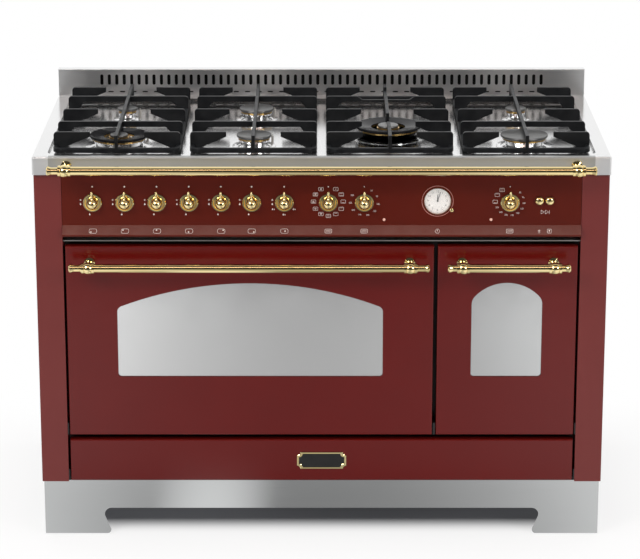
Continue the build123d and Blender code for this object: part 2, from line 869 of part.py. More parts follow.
def door_panel(span, window):
    """The painted outer pan of a door, with its window opening and hinge blocks."""
    mid = (span[0] + span[1]) / 2
    plane = Plane(origin=(mid, front, door_z0 + window_up), x_dir=(1, 0, 0), z_dir=(0, -1, 0))
    pan_y = front + door_pan_d
    with BuildPart() as panel:
        slab(span, (front, pan_y), (door_z0, door_z1))
        fillet(panel.faces().sort_by(Axis.Y)[0].edges(), radius=skin_round)
        room_x = (span[0] + skin_edge, span[1] - skin_edge)
        room_z = (door_z0 + skin_edge, door_z1 - skin_edge)
        slab(room_x, (front + skin_edge, pan_y - sheet), room_z, mode=Mode.SUBTRACT)
        gap_x = (span[0] + pan_flange, span[1] - pan_flange)
        gap_z = (door_z0 + pan_flange, door_z1 - pan_flange)
        slab(gap_x, (pan_y - sheet, pan_y), gap_z, mode=Mode.SUBTRACT)
        block_z = (door_z0 + skin_round, door_z0 + pan_flange)
        slab((room_x[0] - sheet, span[0] + hinge_block), (front + skin_round, pan_y), block_z)
        slab((span[1] - hinge_block, room_x[1] + sheet), (front + skin_round, pan_y), block_z)
        hinge_bores(span, door_hinge)
        extrude(arch(plane, *window), amount=-skin_edge, mode=Mode.SUBTRACT)
    return panel.part


def door_glass(span, window):
    """The arched outer pane behind the skin, and the plain inner pane on the liner."""
    mid = (span[0] + span[1]) / 2
    pane_y = front + skin_edge
    plane = Plane(origin=(mid, pane_y, door_z0 + window_up), x_dir=(1, 0, 0), z_dir=(0, -1, 0))
    with BuildPart() as glass:
        extrude(arch(plane, *window, grow=pane_lap), amount=-pane_t)
        with BuildSketch(facing(front + door_t - sheet)):
            with Locations((mid, door_z0 + window_up + window[1] / 2)):
                Rectangle(window[0] + pane_lap, window[1] + window[2] + pane_lap)
        extrude(amount=pane_t)
    return glass.part


def door_liner(span, window):
    """The steel inner pan of a door with its rounded window."""
    mid = (span[0] + span[1]) / 2
    liner_y = (front + door_pan_d, front + door_t)
    liner_x = (span[0] + liner_in_x, span[1] - liner_in_x)
    liner_z = (door_z0 + liner_low, door_z1 - liner_high)
    with BuildPart() as liner:
        slab(liner_x, liner_y, liner_z)
        fillet(liner.faces().sort_by(Axis.Y)[-1].edges(), radius=edge_round)
        room_x = (liner_x[0] + sheet, liner_x[1] - sheet)
        room_z = (liner_z[0] + sheet, liner_z[1] - sheet)
        slab(room_x, (liner_y[0], liner_y[1] - sheet), room_z, mode=Mode.SUBTRACT)
        with BuildSketch(facing(liner_y[1])):
            with Locations((mid, door_z0 + window_up + window[1] / 2)):
                sight = (window[0] - liner_window_in, window[1] + window[2] - liner_window_in)
                RectangleRounded(*sight, liner_window_r)
        extrude(amount=sheet, mode=Mode.SUBTRACT)
    return liner.part


def door_handle(span, inset):
    """The brass rail across the top of a door."""
    mid = (span[0] + span[1]) / 2
    half = (span[1] - span[0]) / 2
    return brass_rail(mid, half - inset, half - bracket_inset, front, door_z1 - handle_drop, door_rail_r)


main_window = (main_window_w, main_window_side, main_window_rise, main_shoulder_r)
main_door_panel = door_panel(main_door_x, main_window)
main_door_glass = door_glass(main_door_x, main_window)
main_door_liner = door_liner(main_door_x, main_window)
main_door_handle = door_handle(main_door_x, main_handle_inset)

small_window = (small_window_w, small_window_side, small_window_rise, small_shoulder_r)
small_door_panel = door_panel(small_door_x, small_window)
small_door_glass = door_glass(small_door_x, small_window)
small_door_liner = door_liner(small_door_x, small_window)
small_door_handle = door_handle(small_door_x, small_handle_inset)

# Storage flap below the ovens, a shallow pan on two pins, with a rolled lower edge that clears the plinth
with BuildPart() as storage_flap:
    flap_x = (-door_edge, door_edge)
    flap_y = (front, front + flap_t)
    slab(flap_x, flap_y, (flap_z0, flap_z1))
    fillet(storage_flap.faces().sort_by(Axis.Y)[0].edges().sort_by(Axis.Z)[0], radius=flap_roll)
    fillet(storage_flap.faces().sort_by(Axis.Y)[0].edges().sort_by(Axis.Z)[1:], radius=skin_round)
    flap_room_x = (flap_x[0] + hinge_block, flap_x[1] - hinge_block)
    flap_room_z = (flap_z0 + pan_flange, flap_z1 - skin_edge)
    slab(flap_room_x, (front + skin_edge, flap_y[1]), flap_room_z, mode=Mode.SUBTRACT)
    hinge_bores(flap_x, flap_hinge)

# Burner build-up, heights above the tray
flange_grow = 9.0
flange_t = 2.5
cup_foot_z = 6.0
cup_z = 16.0
ring_t = 4.0
cap_t = 7.0
cap_bevel = 2.0
cap_round = 3.0
cap_crown = 0.4
throat_drop = 14.0
cup_waist = 0.80
cup_brim = 0.92
flame_ring = 0.90
flute_r = 1.8
flute_pitch = 8.5
flame_slot_w = 1.6
flame_slot_l = 5.0
flame_slot_pitch = 6.0
moat_in = 0.34
moat_out = 0.52
hub_cap = 0.31
electrode_r = 2.5
electrode_h = 15.0
tip_r = 0.9
tip_h = 4.0
electrode_off = 4.0
electrode_turn = 40.0

# Gas train and switches behind the fascia
valve_size = (26.0, 50.0, 28.0)
manifold_w = 20.0
manifold_left = 20.0
pipe_r = 4.0
pipe_bend = 14.0
pipe_in = 36.0
pipe_rises = (51.0, 31.0)
pipe_y = front + pipe_in
pipe_levels = tuple(knob_z + rise for rise in pipe_rises)
switch_size = (36.0, 46.0, 36.0)
button_block = (46.0, 40.0, 26.0)
button_well = 6.0
button_travel = 3.0


def upright(x, y, z):
    """The plane of a profile turned about the upright axis through (x, y): local X is the radius."""
    return Plane(origin=(x, y, z), x_dir=(1, 0, 0), z_dir=(0, -1, 0))


def around(pitch, r):
    """How many features of a given pitch fit round a circle."""
    return round(2 * math.pi * r / pitch)


ring_z = tray_z + cup_z
cap_z = ring_z + ring_t

# Burner cups: fluted bodies on the tray with a throat through it
with BuildPart() as burner_cups:
    for x, depth, cap_r in burners:
        y = front + depth
        brim = cup_brim * cap_r
        with BuildSketch(upright(x, y, tray_z)):
            with BuildLine():
                Polyline(
                    (0, -throat_drop),
                    (throat_r, -throat_drop),
                    (throat_r, 0),
                    (cap_r + flange_grow, 0),
                    (cap_r + flange_grow, flange_t / 2),
                    (cap_r, flange_t),
                    (cup_waist * cap_r, cup_foot_z),
                    (brim, cup_z),
                    (0, cup_z),
                    close=True,
                )
            make_face()
        revolve(axis=Axis((x, y, 0), (0, 0, 1)))
        with BuildSketch(Plane.XY.offset(ring_z)):
            with Locations((x, y)):
                with PolarLocations(brim, around(flute_pitch, brim)):
                    Circle(flute_r)
        extrude(amount=cup_foot_z - cup_z, mode=Mode.SUBTRACT)
    for x, depth, cap_r in ring_burners:
        with BuildSketch(Plane.XY.offset(ring_z)):
            with Locations((x, front + depth)):
                Circle(moat_out * cap_r)
                Circle(moat_in * cap_r, mode=Mode.SUBTRACT)
        extrude(amount=cup_foot_z - cup_z, mode=Mode.SUBTRACT)

# Brass flame rings with a crown of slots
with BuildPart() as burner_rings:
    for x, depth, cap_r in burners:
        crown = flame_ring * cap_r
        with BuildSketch(Plane.XY.offset(ring_z)):
            with Locations((x, front + depth)):
                Circle(crown)
                with PolarLocations(crown, around(flame_slot_pitch, crown)):
                    Rectangle(flame_slot_l, flame_slot_w, mode=Mode.SUBTRACT)
        extrude(amount=ring_t)
    for x, depth, cap_r in ring_burners:
        with BuildSketch(Plane.XY.offset(ring_z)):
            with Locations((x, front + depth)):
                Circle(moat_out * cap_r)
                Circle(moat_in * cap_r, mode=Mode.SUBTRACT)
        extrude(amount=ring_t, mode=Mode.SUBTRACT)

# Burner caps: plain lids, and dished rings with a small lid in the middle
with BuildPart() as burner_caps:
    lids = [*plain_burners, *[(x, depth, hub_cap * cap_r) for x, depth, cap_r in ring_burners]]
    for x, depth, cap_r in lids:
        with BuildSketch(upright(x, front + depth, cap_z)):
            with BuildLine():
                rim = (cap_r, cap_t - cap_round)
                brow = (cap_r - cap_round, cap_t - cap_crown)
                Polyline((0, cap_t), (0, 0), (cap_r - cap_bevel, 0), (cap_r, cap_bevel), rim)
                Spline(rim, brow, tangents=((0, 1), (-1, 0)))
                Line(brow, (0, cap_t))
            make_face()
        revolve(axis=Axis((x, front + depth, 0), (0, 0, 1)))
    for x, depth, cap_r in ring_burners:
        eye = moat_out * cap_r
        with BuildSketch(upright(x, front + depth, cap_z)):
            with BuildLine():
                rim = (cap_r, cap_t - cap_round)
                brow = (cap_r - cap_round, cap_t - cap_crown)
                Polyline((eye, cap_bevel), (eye, 0), (cap_r - cap_bevel, 0), (cap_r, cap_bevel), rim)
                Spline(rim, brow, tangents=((0, 1), (-1, 0)))
                Line(brow, (eye, cap_bevel))
            make_face()
        revolve(axis=Axis((x, front + depth, 0), (0, 0, 1)))

# Spark electrodes beside the cups
with BuildPart() as spark_electrodes:
    for x, depth, cap_r in burners:
        reach = cap_r + flange_grow + electrode_off
        with Locations((x, front + depth, tray_z)):
            with Locations(Location((0, 0, 0), (0, 0, electrode_turn))):
                with Locations((reach, 0, 0)):
                    seat = (Align.CENTER, Align.CENTER, Align.MIN)
                    Cylinder(electrode_r, electrode_h, align=seat)
                    Cylinder(tip_r, electrode_h + tip_h, align=seat)

# Gas valves on the back of the fascia, one behind each burner knob
panel_back = front + sheet
with BuildPart() as gas_valves:
    for x in burner_knob_x:
        span_x = (x - valve_size[0] / 2, x + valve_size[0] / 2)
        span_z = (knob_z - valve_size[2] / 2, knob_z + valve_size[2] / 2)
        slab(span_x, (panel_back, panel_back + valve_size[1]), span_z)
    with BuildSketch(facing(panel_back)):
        with Locations(*[(x, knob_z) for x in burner_knob_x]):
            Circle(spindle_r + spindle_play)
    extrude(amount=-(spindle_in + sheet), mode=Mode.SUBTRACT)

# Manifold across the valves with its inlet at the rear, and a pipe from each valve to its burner
manifold_y = panel_back + valve_size[1]
fed_burners = (
    ring_burners[0],
    plain_burners[0],
    plain_burners[1],
    plain_burners[2],
    plain_burners[3],
    plain_burners[4],
    ring_burners[1],
)
low_pipes = (3, 6)
with BuildPart() as gas_pipework:
    manifold_x = (burner_knob_x[0] - manifold_left, inlet_x + manifold_w / 2)
    manifold_z = (knob_z - manifold_w / 2, knob_z + manifold_w / 2)
    slab(manifold_x, (manifold_y, manifold_y + manifold_w), manifold_z)
    thread_y = back - inlet_thread_l / 2
    with BuildSketch(facing(manifold_y + manifold_w)):
        with Locations((inlet_x, knob_z)):
            Circle(inlet_pipe_r)
    extrude(amount=manifold_y + manifold_w - thread_y)
    with BuildSketch(facing(thread_y - inlet_thread_l)):
        with Locations((inlet_x, knob_z)):
            Circle(inlet_thread_r)
    extrude(amount=-inlet_thread_l)
    for i, (knob_x, (x, depth, cap_r)) in enumerate(zip(burner_knob_x, fed_burners)):
        level = pipe_levels[1] if i in low_pipes else pipe_levels[0]
        start = (knob_x, pipe_y, knob_z + valve_size[2] / 2)
        throat = (x, front + depth, tray_z - throat_drop)
        with BuildLine():
            FilletPolyline(
                start,
                (knob_x, pipe_y, level),
                (x, front + depth, level),
                throat,
                radius=pipe_bend,
            )
        with BuildSketch(Plane(origin=start, z_dir=(0, 0, 1))):
            Circle(pipe_r)
        sweep()

# Switches behind the oven knobs, and one block behind both push buttons
with BuildPart() as switch_bodies:
    switch_x = (selector_x, thermostat_x, small_knob_x)
    for x in switch_x:
        span_x = (x - switch_size[0] / 2, x + switch_size[0] / 2)
        span_z = (knob_z - switch_size[2] / 2, knob_z + switch_size[2] / 2)
        slab(span_x, (panel_back, panel_back + switch_size[1]), span_z)
    with BuildSketch(facing(panel_back)):
        with Locations(*[(x, knob_z) for x in switch_x]):
            Circle(spindle_r + spindle_play)
    extrude(amount=-(spindle_in + sheet), mode=Mode.SUBTRACT)
    button_z = lip_z1 + button_up
    block_mid = (button_x[0] + button_x[1]) / 2
    block_x = (block_mid - button_block[0] / 2, block_mid + button_block[0] / 2)
    block_z = (button_z - button_block[2] / 2, button_z + button_block[2] / 2)
    slab(block_x, (panel_back, panel_back + button_block[1]), block_z)
    with BuildSketch(facing(panel_back)):
        with Locations(*[(x, button_z) for x in button_x]):
            Circle(button_r + button_play)
    extrude(amount=-button_well, mode=Mode.SUBTRACT)
    with BuildSketch(facing(panel_back)):
        with Locations(*[(x, button_z) for x in button_x]):
            Circle(spindle_r + spindle_play)
    extrude(amount=-(spindle_in + button_travel + sheet), mode=Mode.SUBTRACT)

# Knob, button and clock details
lever_tilt = 12.0
lever_r = (3.4, 3.2, 2.1, 2.9)
lever_at = (0.42, 0.66, 0.9)
knob_edge = 1.0
knob_bevel = 1.5
knob_land = 2.0
knob_groove = 3.0
knob_neck_r = 9.2
button_dome = 9.0
button_edge = 1.0
button_skirt = 4.0
lens_out = 2.5
lens_edge = 0.5
lens_collar = 2.0
lens_body_l = 12.0
clock_cup_d = 26.0
clock_rim = 1.3
clock_lip = 1.5
dial_sink = 3.5
dial_t = 1.0
bush_r = 38.5
bush_t = 6.0
hour_pipe_r = 2.0
minute_arbor_r = 1.25
hour_hand_l = 14.0
minute_hand_l = 21.0
hand_w = 2.2
hour_taper = 88.0
minute_hand_w = 1.76
minute_taper = 89.0
hand_t = 0.7
hand_gap = 0.4
minutes_past = 3.0
set_head_r = 4.2
set_head_l = 6.5
set_bevel = 0.5
set_round = 2.5


def lever_knob(x):
    """A turned brass knob with a grooved disc, a ball and an upright lever, on its spindle."""
    ball = Vector(x, front - knob_lift - knob_ball_out, knob_z)
    tilt = math.radians(lever_tilt)
    lever_dir = (0, -math.sin(tilt), math.cos(tilt))
    lever_plane = Plane(origin=ball, x_dir=(1, 0, 0), z_dir=(0, -math.cos(tilt), -math.sin(tilt)))
    face = knob_lift + knob_disc_t
    land_r = knob_disc_r - knob_bevel - knob_land
    foot_r, waist_r, grip_r, end_r = lever_r
    waist, grip, end = (share * knob_lever_h for share in lever_at)
    with BuildPart() as knob:
        with BuildSketch(lathe(x, front, knob_z)):
            with BuildLine():
                Polyline(
                    (0, -spindle_in),
                    (spindle_r, -spindle_in),
                    (spindle_r, knob_lift),
                    (knob_disc_r - knob_edge, knob_lift),
                    (knob_disc_r, knob_lift + knob_edge),
                    (knob_disc_r, face - knob_bevel),
                    (land_r + knob_land, face),
                    (land_r, face),
                    (land_r - knob_bevel, face - knob_groove),
                    (knob_ball_r, face - knob_groove),
                    (knob_neck_r, face),
                    (knob_neck_r, knob_lift + knob_ball_out),
                    (0, knob_lift + knob_ball_out),
                    close=True,
                )
            make_face()
            with Locations((0, knob_lift + knob_ball_out)):
                Circle(knob_ball_r)
            with Locations((-knob_disc_r, 0)):
                Rectangle(2 * knob_disc_r, 4 * knob_disc_r, mode=Mode.SUBTRACT)
        revolve(axis=out_axis(x, knob_z))
        with BuildSketch(lever_plane):
            with BuildLine():
                Polyline((0, knob_lever_h), (0, 0), (foot_r, 0), (waist_r, waist))
                Spline((waist_r, waist), (grip_r, grip), (end_r, end), (0, knob_lever_h))
            make_face()
        revolve(axis=Axis(ball, lever_dir))
    return knob.part


burner_knobs = [lever_knob(x) for x in burner_knob_x]
selector_knob = lever_knob(selector_x)
thermostat_knob = lever_knob(thermostat_x)
small_oven_knob = lever_knob(small_knob_x)


def push_button(x):
    """A domed button whose skirt slides in the panel and whose stem slides in the switch block."""
    with BuildPart() as button:
        with BuildSketch(lathe(x, front, button_z)):
            with BuildLine():
                Polyline(
                    (0, button_dome),
                    (0, -button_skirt - spindle_in),
                    (spindle_r, -button_skirt - spindle_in),
                    (spindle_r, -button_skirt),
                    (button_r, -button_skirt),
                    (button_r, button_edge),
                )
                Spline((button_r, button_edge), (0, button_dome), tangents=((0, 1), (-1, 0)))
            make_face()
        revolve(axis=out_axis(x, button_z))
    return button.part


ignition_button = push_button(button_x[0])
lamp_button = push_button(button_x[1])

# Indicator lamps: lenses through the fascia with a collar behind it
with BuildPart() as indicator_lamps:
    lens_z = lip_z1 + lamp_up
    for x in lamp_x:
        with BuildSketch(lathe(x, front, lens_z)):
            with BuildLine():
                Polyline(
                    (0, lens_out),
                    (0, -lens_body_l),
                    (lens_r + lens_collar, -lens_body_l),
                    (lens_r + lens_collar, -sheet),
                    (lens_r, -sheet),
                    (lens_r, lens_edge),
                )
                Spline((lens_r, lens_edge), (0, lens_out), tangents=((0, 1), (-1, 0)))
            make_face()
        revolve(axis=out_axis(x, lens_z))

# Clock case: a cup through the fascia, with a flange behind it that also carries the setting stem
clock_z = lip_z1 + clock_up
set_x = clock_x + set_knob_off[0]
set_z = clock_z + set_knob_off[1]
with BuildPart() as clock_case:
    with BuildSketch(lathe(clock_x, front, clock_z)):
        with BuildLine():
            Polyline(
                (hour_pipe_r + spindle_play, -dial_sink),
                (clock_case_r - clock_rim, -dial_sink),
                (clock_case_r - clock_rim, clock_lip),
                (clock_case_r, clock_lip),
                (clock_case_r, -sheet),
                (bush_r, -sheet),
                (bush_r, -sheet - bush_t),
                (clock_case_r, -sheet - bush_t),
                (clock_case_r, -clock_cup_d),
                (hour_pipe_r + spindle_play, -clock_cup_d),
                close=True,
            )
        make_face()
    revolve(axis=out_axis(clock_x, clock_z))
    with BuildSketch(facing(panel_back)):
        with Locations((set_x, set_z)):
            Circle(set_stem_r + spindle_play)
    extrude(amount=-bush_t, mode=Mode.SUBTRACT)

# Dial on the floor of the case
with BuildPart() as clock_dial:
    with BuildSketch(facing(front + dial_sink)):
        with Locations((clock_x, clock_z)):
            Circle(clock_case_r - clock_rim - clock_hole_play)
            Circle(hour_pipe_r + spindle_play, mode=Mode.SUBTRACT)
    extrude(amount=dial_t)

# Hour hand on its pipe, and minute hand on the arbor inside the pipe, at a few minutes past twelve
minute_turn = -360 * minutes_past / 60
hour_y = front + dial_sink - dial_t - hand_gap
minute_y = hour_y - hand_t - hand_gap
with BuildPart() as hour_hand:
    with BuildSketch(facing(hour_y)):
        with Locations(Location((clock_x, clock_z, 0), (0, 0, minute_turn / 12))):
            Circle(hand_w)
            with Locations((0, hour_hand_l / 2)):
                Trapezoid(hand_w, hour_hand_l, hour_taper)
    extrude(amount=hand_t)
    with BuildSketch(facing(hour_y)):
        with Locations((clock_x, clock_z)):
            Circle(hour_pipe_r)
    extrude(amount=-(dial_t + hand_gap + dial_sink))
    with BuildSketch(facing(hour_y - hand_t)):
        with Locations((clock_x, clock_z)):
            Circle(minute_arbor_r + spindle_play)
    extrude(amount=-clock_cup_d, mode=Mode.SUBTRACT)
with BuildPart() as minute_hand:
    with BuildSketch(facing(minute_y)):
        with Locations(Location((clock_x, clock_z, 0), (0, 0, minute_turn))):
            Circle(hand_w)
            with Locations((0, minute_hand_l / 2)):
                Trapezoid(minute_hand_w, minute_hand_l, minute_taper)
    extrude(amount=hand_t)
    with BuildSketch(facing(minute_y)):
        with Locations((clock_x, clock_z)):
            Circle(minute_arbor_r)
    extrude(amount=-(clock_cup_d / 2))

# Setting knob at the rim of the clock
with BuildPart() as clock_set_knob:
    with BuildSketch(lathe(set_x, front, set_z)):
        with BuildLine():
            Polyline(
                (0, set_head_l),
                (0, -sheet - bush_t),
                (set_stem_r, -sheet - bush_t),
                (set_stem_r, clock_lip),
                (set_head_r, clock_lip + set_bevel),
                (set_head_r, set_head_l - set_round),
            )
            Spline((set_head_r, set_head_l - set_round), (0, set_head_l), tangents=((0, 1), (-1, 0)))
        make_face()
    revolve(axis=out_axis(set_x, set_z))

# Grate details
grate_corner = 22.0
grate_lift = 6.0
grate_foot_r = 4.4
grate_foot_in = 1.0
grate_bevel = 2.0
finger_thin = 2.0
blade_web = 12.0
blade_root = 14.0
blade_slope = 22.0
blade_round = 7.0
wok_gap = (-46.0, 34.0)
dip_half = 52.0
dip_d = 8.0
dip_slope = 12.0


def grate(cx, wok=False):
    """A cast-iron pan support: a low frame on feet, cross blades and a lengthwise blade."""
    half = grate_w / 2
    mid_y = front + grate_mid
    low = tray_z + grate_lift
    top = hob_z1 + grate_top
    web = top - blade_web
    spread = blade_root + blade_slope
    with BuildPart() as iron:
        with BuildSketch(Plane.XY.offset(low)):
            with Locations((cx, mid_y)):
                RectangleRounded(grate_w, grate_l, grate_corner)
                opening = (grate_w - 2 * grate_bar, grate_l - 2 * grate_bar)
                RectangleRounded(*opening, grate_corner - grate_bar, mode=Mode.SUBTRACT)
        extrude(amount=grate_bar)
        chamfer(iron.faces().sort_by(Axis.Z)[-1].edges(), length=grate_bevel)
        with Locations((cx, mid_y, tray_z + grate_seat)):
            with GridLocations(grate_w - grate_bar, grate_l / 2, 2, 2):
                standing = (Align.CENTER, Align.CENTER, Align.MIN)
                Cylinder(grate_foot_r, grate_lift + grate_foot_in, align=standing)
        fingers = (*finger_rows, bar_rows[0]) if wok else finger_rows
        for row in fingers:
            with BuildSketch(upright(cx, mid_y + row - grate_blade / 2, 0)) as pair:
                with BuildLine():
                    Polyline(
                        (-half, low),
                        (-half, top),
                        (finger_len - half, top),
                        (finger_len - half, web + finger_thin),
                        (spread - half, low + grate_bar),
                        (blade_root - half, low),
                        close=True,
                    )
                make_face()
                fillet(pair.vertices().group_by(Axis.Y)[-1].sort_by(Axis.X)[0], radius=blade_round)
                mirror(about=Plane.YZ)
            extrude(amount=-grate_blade)
        bars = bar_rows[1:] if wok else bar_rows
        for row in bars:
            with BuildSketch(upright(cx, mid_y + row - grate_blade / 2, 0)) as bar:
                with BuildLine():
                    Polyline(
                        (-half, low),
                        (-half, top),
                        (half, top),
                        (half, low),
                        (half - blade_root, low),
                        (half - spread, web),
                        (spread - half, web),
                        (blade_root - half, low),
                        close=True,
                    )
                make_face()
                fillet(bar.vertices().group_by(Axis.Y)[-1], radius=blade_round)
                if wok:
                    with BuildLine():
                        Polyline(
                            (-dip_half - dip_slope, top),
                            (-dip_half, top - dip_d),
                            (dip_half, top - dip_d),
                            (dip_half + dip_slope, top),
                            close=True,
                        )
                    make_face(mode=Mode.SUBTRACT)
            extrude(amount=-grate_blade)
        blade_x = (cx - grate_blade / 2, cx + grate_blade / 2)
        ends = (mid_y - grate_l / 2, mid_y + grate_l / 2)
        slab(blade_x, ends, (web, top))
        slab(blade_x, (ends[0], ends[0] + blade_root), (low, top))
        slab(blade_x, (ends[1] - blade_root, ends[1]), (low, top))
        if wok:
            gap_y = (front + wok_row + wok_gap[0], front + wok_row + wok_gap[1])
            slab(blade_x, gap_y, (web, top), mode=Mode.SUBTRACT)
            slab(blade_x, (mid_y + bar_rows[1], ends[1]), (top - dip_d, top), mode=Mode.SUBTRACT)
            slab(blade_x, (mid_y + finger_rows[2], ends[1]), (top - dip_d, top))
    return iron.part


grates = [grate(x, wok=x == ring_burners[1][0]) for x in grate_x]

# One file for each piece
pieces = {
    "side_panels": side_panels.part,
    "rear_panel": rear_panel.part,
    "cable_gland": cable_gland.part,
    "base_tray": base_tray.part,
    "plinth": plinth.part,
    "levelling_feet": levelling_feet.part,
    "front_frame": front_frame.part,
    "storage_box": storage_box.part,
    "control_panel": control_panel.part,
    "hob_top": hob_top.part,
    "backsplash": backsplash.part,
    "hob_rail": hob_rail,
    "main_oven_cavity": main_oven_cavity,
    "small_oven_cavity": small_oven_cavity,
    "oven_racks": oven_racks.part,
    "oven_elements": oven_elements.part,
    "oven_lamps": oven_lamps.part,
    "convection_fan": convection_fan.part,
    "fan_motor": fan_motor.part,
    "fan_cover": fan_cover.part,
    "door_seals": door_seals.part,
    "door_hinges": door_hinges.part,
    "main_door_panel": main_door_panel,
    "main_door_glass": main_door_glass,
    "main_door_liner": main_door_liner,
    "main_door_handle": main_door_handle,
    "small_door_panel": small_door_panel,
    "small_door_glass": small_door_glass,
    "small_door_liner": small_door_liner,
    "small_door_handle": small_door_handle,
    "storage_flap": storage_flap.part,
    "burner_cups": burner_cups.part,
    "burner_rings": burner_rings.part,
    "burner_caps": burner_caps.part,
    "spark_electrodes": spark_electrodes.part,
    "gas_valves": gas_valves.part,
    "gas_pipework": gas_pipework.part,
    "switch_bodies": switch_bodies.part,
    "selector_knob": selector_knob,
    "thermostat_knob": thermostat_knob,
    "small_oven_knob": small_oven_knob,
    "ignition_button": ignition_button,
    "lamp_button": lamp_button,
    "indicator_lamps": indicator_lamps.part,
    "clock_case": clock_case.part,
    "clock_dial": clock_dial.part,
    "hour_hand": hour_hand.part,
    "minute_hand": minute_hand.part,
    "clock_set_knob": clock_set_knob.part,
}
for number, knob in enumerate(burner_knobs, start=1):
    pieces[f"burner_knob_{number}"] = knob
for number, iron in enumerate(grates, start=1):
    pieces[f"grate_{number}"] = iron

os.makedirs("parts", exist_ok=True)
for name, piece in pieces.items():
    piece.label = name
    export_step(piece, f"parts/{name}.step")
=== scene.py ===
import math

import bmesh
import bpy
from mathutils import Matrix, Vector


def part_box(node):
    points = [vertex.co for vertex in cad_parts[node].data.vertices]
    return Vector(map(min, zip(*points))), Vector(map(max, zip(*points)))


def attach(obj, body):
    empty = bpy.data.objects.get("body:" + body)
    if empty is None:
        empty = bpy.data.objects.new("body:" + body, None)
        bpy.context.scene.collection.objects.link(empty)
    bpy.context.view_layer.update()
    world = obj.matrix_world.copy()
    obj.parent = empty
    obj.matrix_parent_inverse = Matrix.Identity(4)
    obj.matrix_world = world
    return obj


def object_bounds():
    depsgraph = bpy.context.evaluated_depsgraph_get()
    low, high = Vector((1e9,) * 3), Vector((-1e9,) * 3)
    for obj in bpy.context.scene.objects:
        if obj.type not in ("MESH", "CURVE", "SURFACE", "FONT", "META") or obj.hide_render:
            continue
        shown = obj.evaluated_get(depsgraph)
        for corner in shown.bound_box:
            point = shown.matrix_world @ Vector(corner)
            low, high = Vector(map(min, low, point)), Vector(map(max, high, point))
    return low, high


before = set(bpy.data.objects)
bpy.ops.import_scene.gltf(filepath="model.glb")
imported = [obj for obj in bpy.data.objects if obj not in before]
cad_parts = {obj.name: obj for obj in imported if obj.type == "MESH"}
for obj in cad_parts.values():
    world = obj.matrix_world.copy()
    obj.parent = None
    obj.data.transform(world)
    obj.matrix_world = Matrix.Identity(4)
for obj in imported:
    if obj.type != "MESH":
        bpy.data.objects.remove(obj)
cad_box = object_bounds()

MM = 0.001

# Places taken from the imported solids
FRONT_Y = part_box("main_door_panel")[0].y
FRAME_BACK_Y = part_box("front_frame")[1].y
LIP_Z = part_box("control_panel")[0].z
CUP_LOW_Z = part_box("burner_cups")[0].z
SPLASH_LOW, SPLASH_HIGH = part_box("backsplash")
FLAP_LOW, FLAP_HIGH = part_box("storage_flap")
DIAL_LOW, DIAL_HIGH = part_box("clock_dial")

# Sizes of the CAD that the looks follow
LIP_H = 24 * MM
LIP_FLARE = 14 * MM
LEDGE_OUT = 3 * MM
APRON_BACK = 3 * MM
APRON_END_W = 34 * MM
CHANNEL_SKIN = 0.5 * MM
CUP_FLANGE = 17 * MM

# Ring burners: grate number, distance behind the front and cap radius in millimetres
RING_BURNERS = ((1, 118, 62), (3, 205, 71))
RING_EYE = 0.42
RING_OUT = 1.05


# Node helpers

# Sockets of a Mix node, for colours and for values
COLOUR_INPUTS, COLOUR_OUTPUT = (6, 7), 2
VALUE_INPUTS, VALUE_OUTPUT = (2, 3), 0


def empty_tree(owner):
    """The node tree of a material or a world, emptied."""
    owner.use_nodes = True
    owner.node_tree.nodes.clear()
    return owner.node_tree


def new_material(name):
    """A node material with a Principled shader: the material, its tree and the shader."""
    material = bpy.data.materials.new(name)
    tree = empty_tree(material)
    shader = tree.nodes.new("ShaderNodeBsdfPrincipled")
    out = tree.nodes.new("ShaderNodeOutputMaterial")
    tree.links.new(shader.outputs[0], out.inputs[0])
    return material, tree, shader


def add(tree, kind, links=(), **settings):
    """Adds a node, sets its properties or named inputs, and links (source socket, input) pairs."""
    node = tree.nodes.new(kind)
    for key, value in settings.items():
        if key in node.inputs:
            node.inputs[key].default_value = value
        else:
            setattr(node, key, value)
    for source, target in links:
        tree.links.new(source, node.inputs[target])
    return node


def feed(shader, name, socket):
    """Links a socket to a named input of a shader."""
    shader.id_data.links.new(socket, shader.inputs[name])


def shader_of(material):
    """The tree of a finished material, its shader, and the sockets of its colour and roughness."""
    tree = material.node_tree
    shader = tree.nodes["Principled BSDF"]
    tint, shine = (shader.inputs[name].links[0].from_socket for name in ("Base Color", "Roughness"))
    return tree, shader, tint, shine


def calc(tree, operation, *values):
    """A sum, product or test of values, each a number or a socket."""
    node = add(tree, "ShaderNodeMath", operation=operation)
    for target, value in zip(node.inputs, values):
        if isinstance(value, bpy.types.NodeSocket):
            tree.links.new(value, target)
        else:
            target.default_value = value
    return node.outputs[0]


def places(tree):
    """Object coordinates, which are the part's own metres."""
    return add(tree, "ShaderNodeTexCoord").outputs["Object"]


def along(tree, where):
    """The X, Y and Z of a place, by name."""
    return add(tree, "ShaderNodeSeparateXYZ", [(where, "Vector")]).outputs


def noise(tree, where, scale, stretch=(1, 1, 1), detail=4.0, rough=0.55):
    """Noise with a feature size set by scale, stretched along the axes."""
    mapped = add(tree, "ShaderNodeMapping", [(where, "Vector")], Scale=stretch)
    made = add(tree, "ShaderNodeTexNoise", [(mapped.outputs[0], "Vector")],
               Scale=scale, Detail=detail, Roughness=rough)
    return made.outputs["Fac"]


def spread(tree, value, low, high, start=0.3, end=0.7):
    """Maps a value between start and end onto a range. The defaults suit noise."""
    node = add(tree, "ShaderNodeMapRange", [(value, "Value")])
    limits = (("From Min", start), ("From Max", end), ("To Min", low), ("To Max", high))
    for name, number in limits:
        node.inputs[name].default_value = number
    return node.outputs[0]


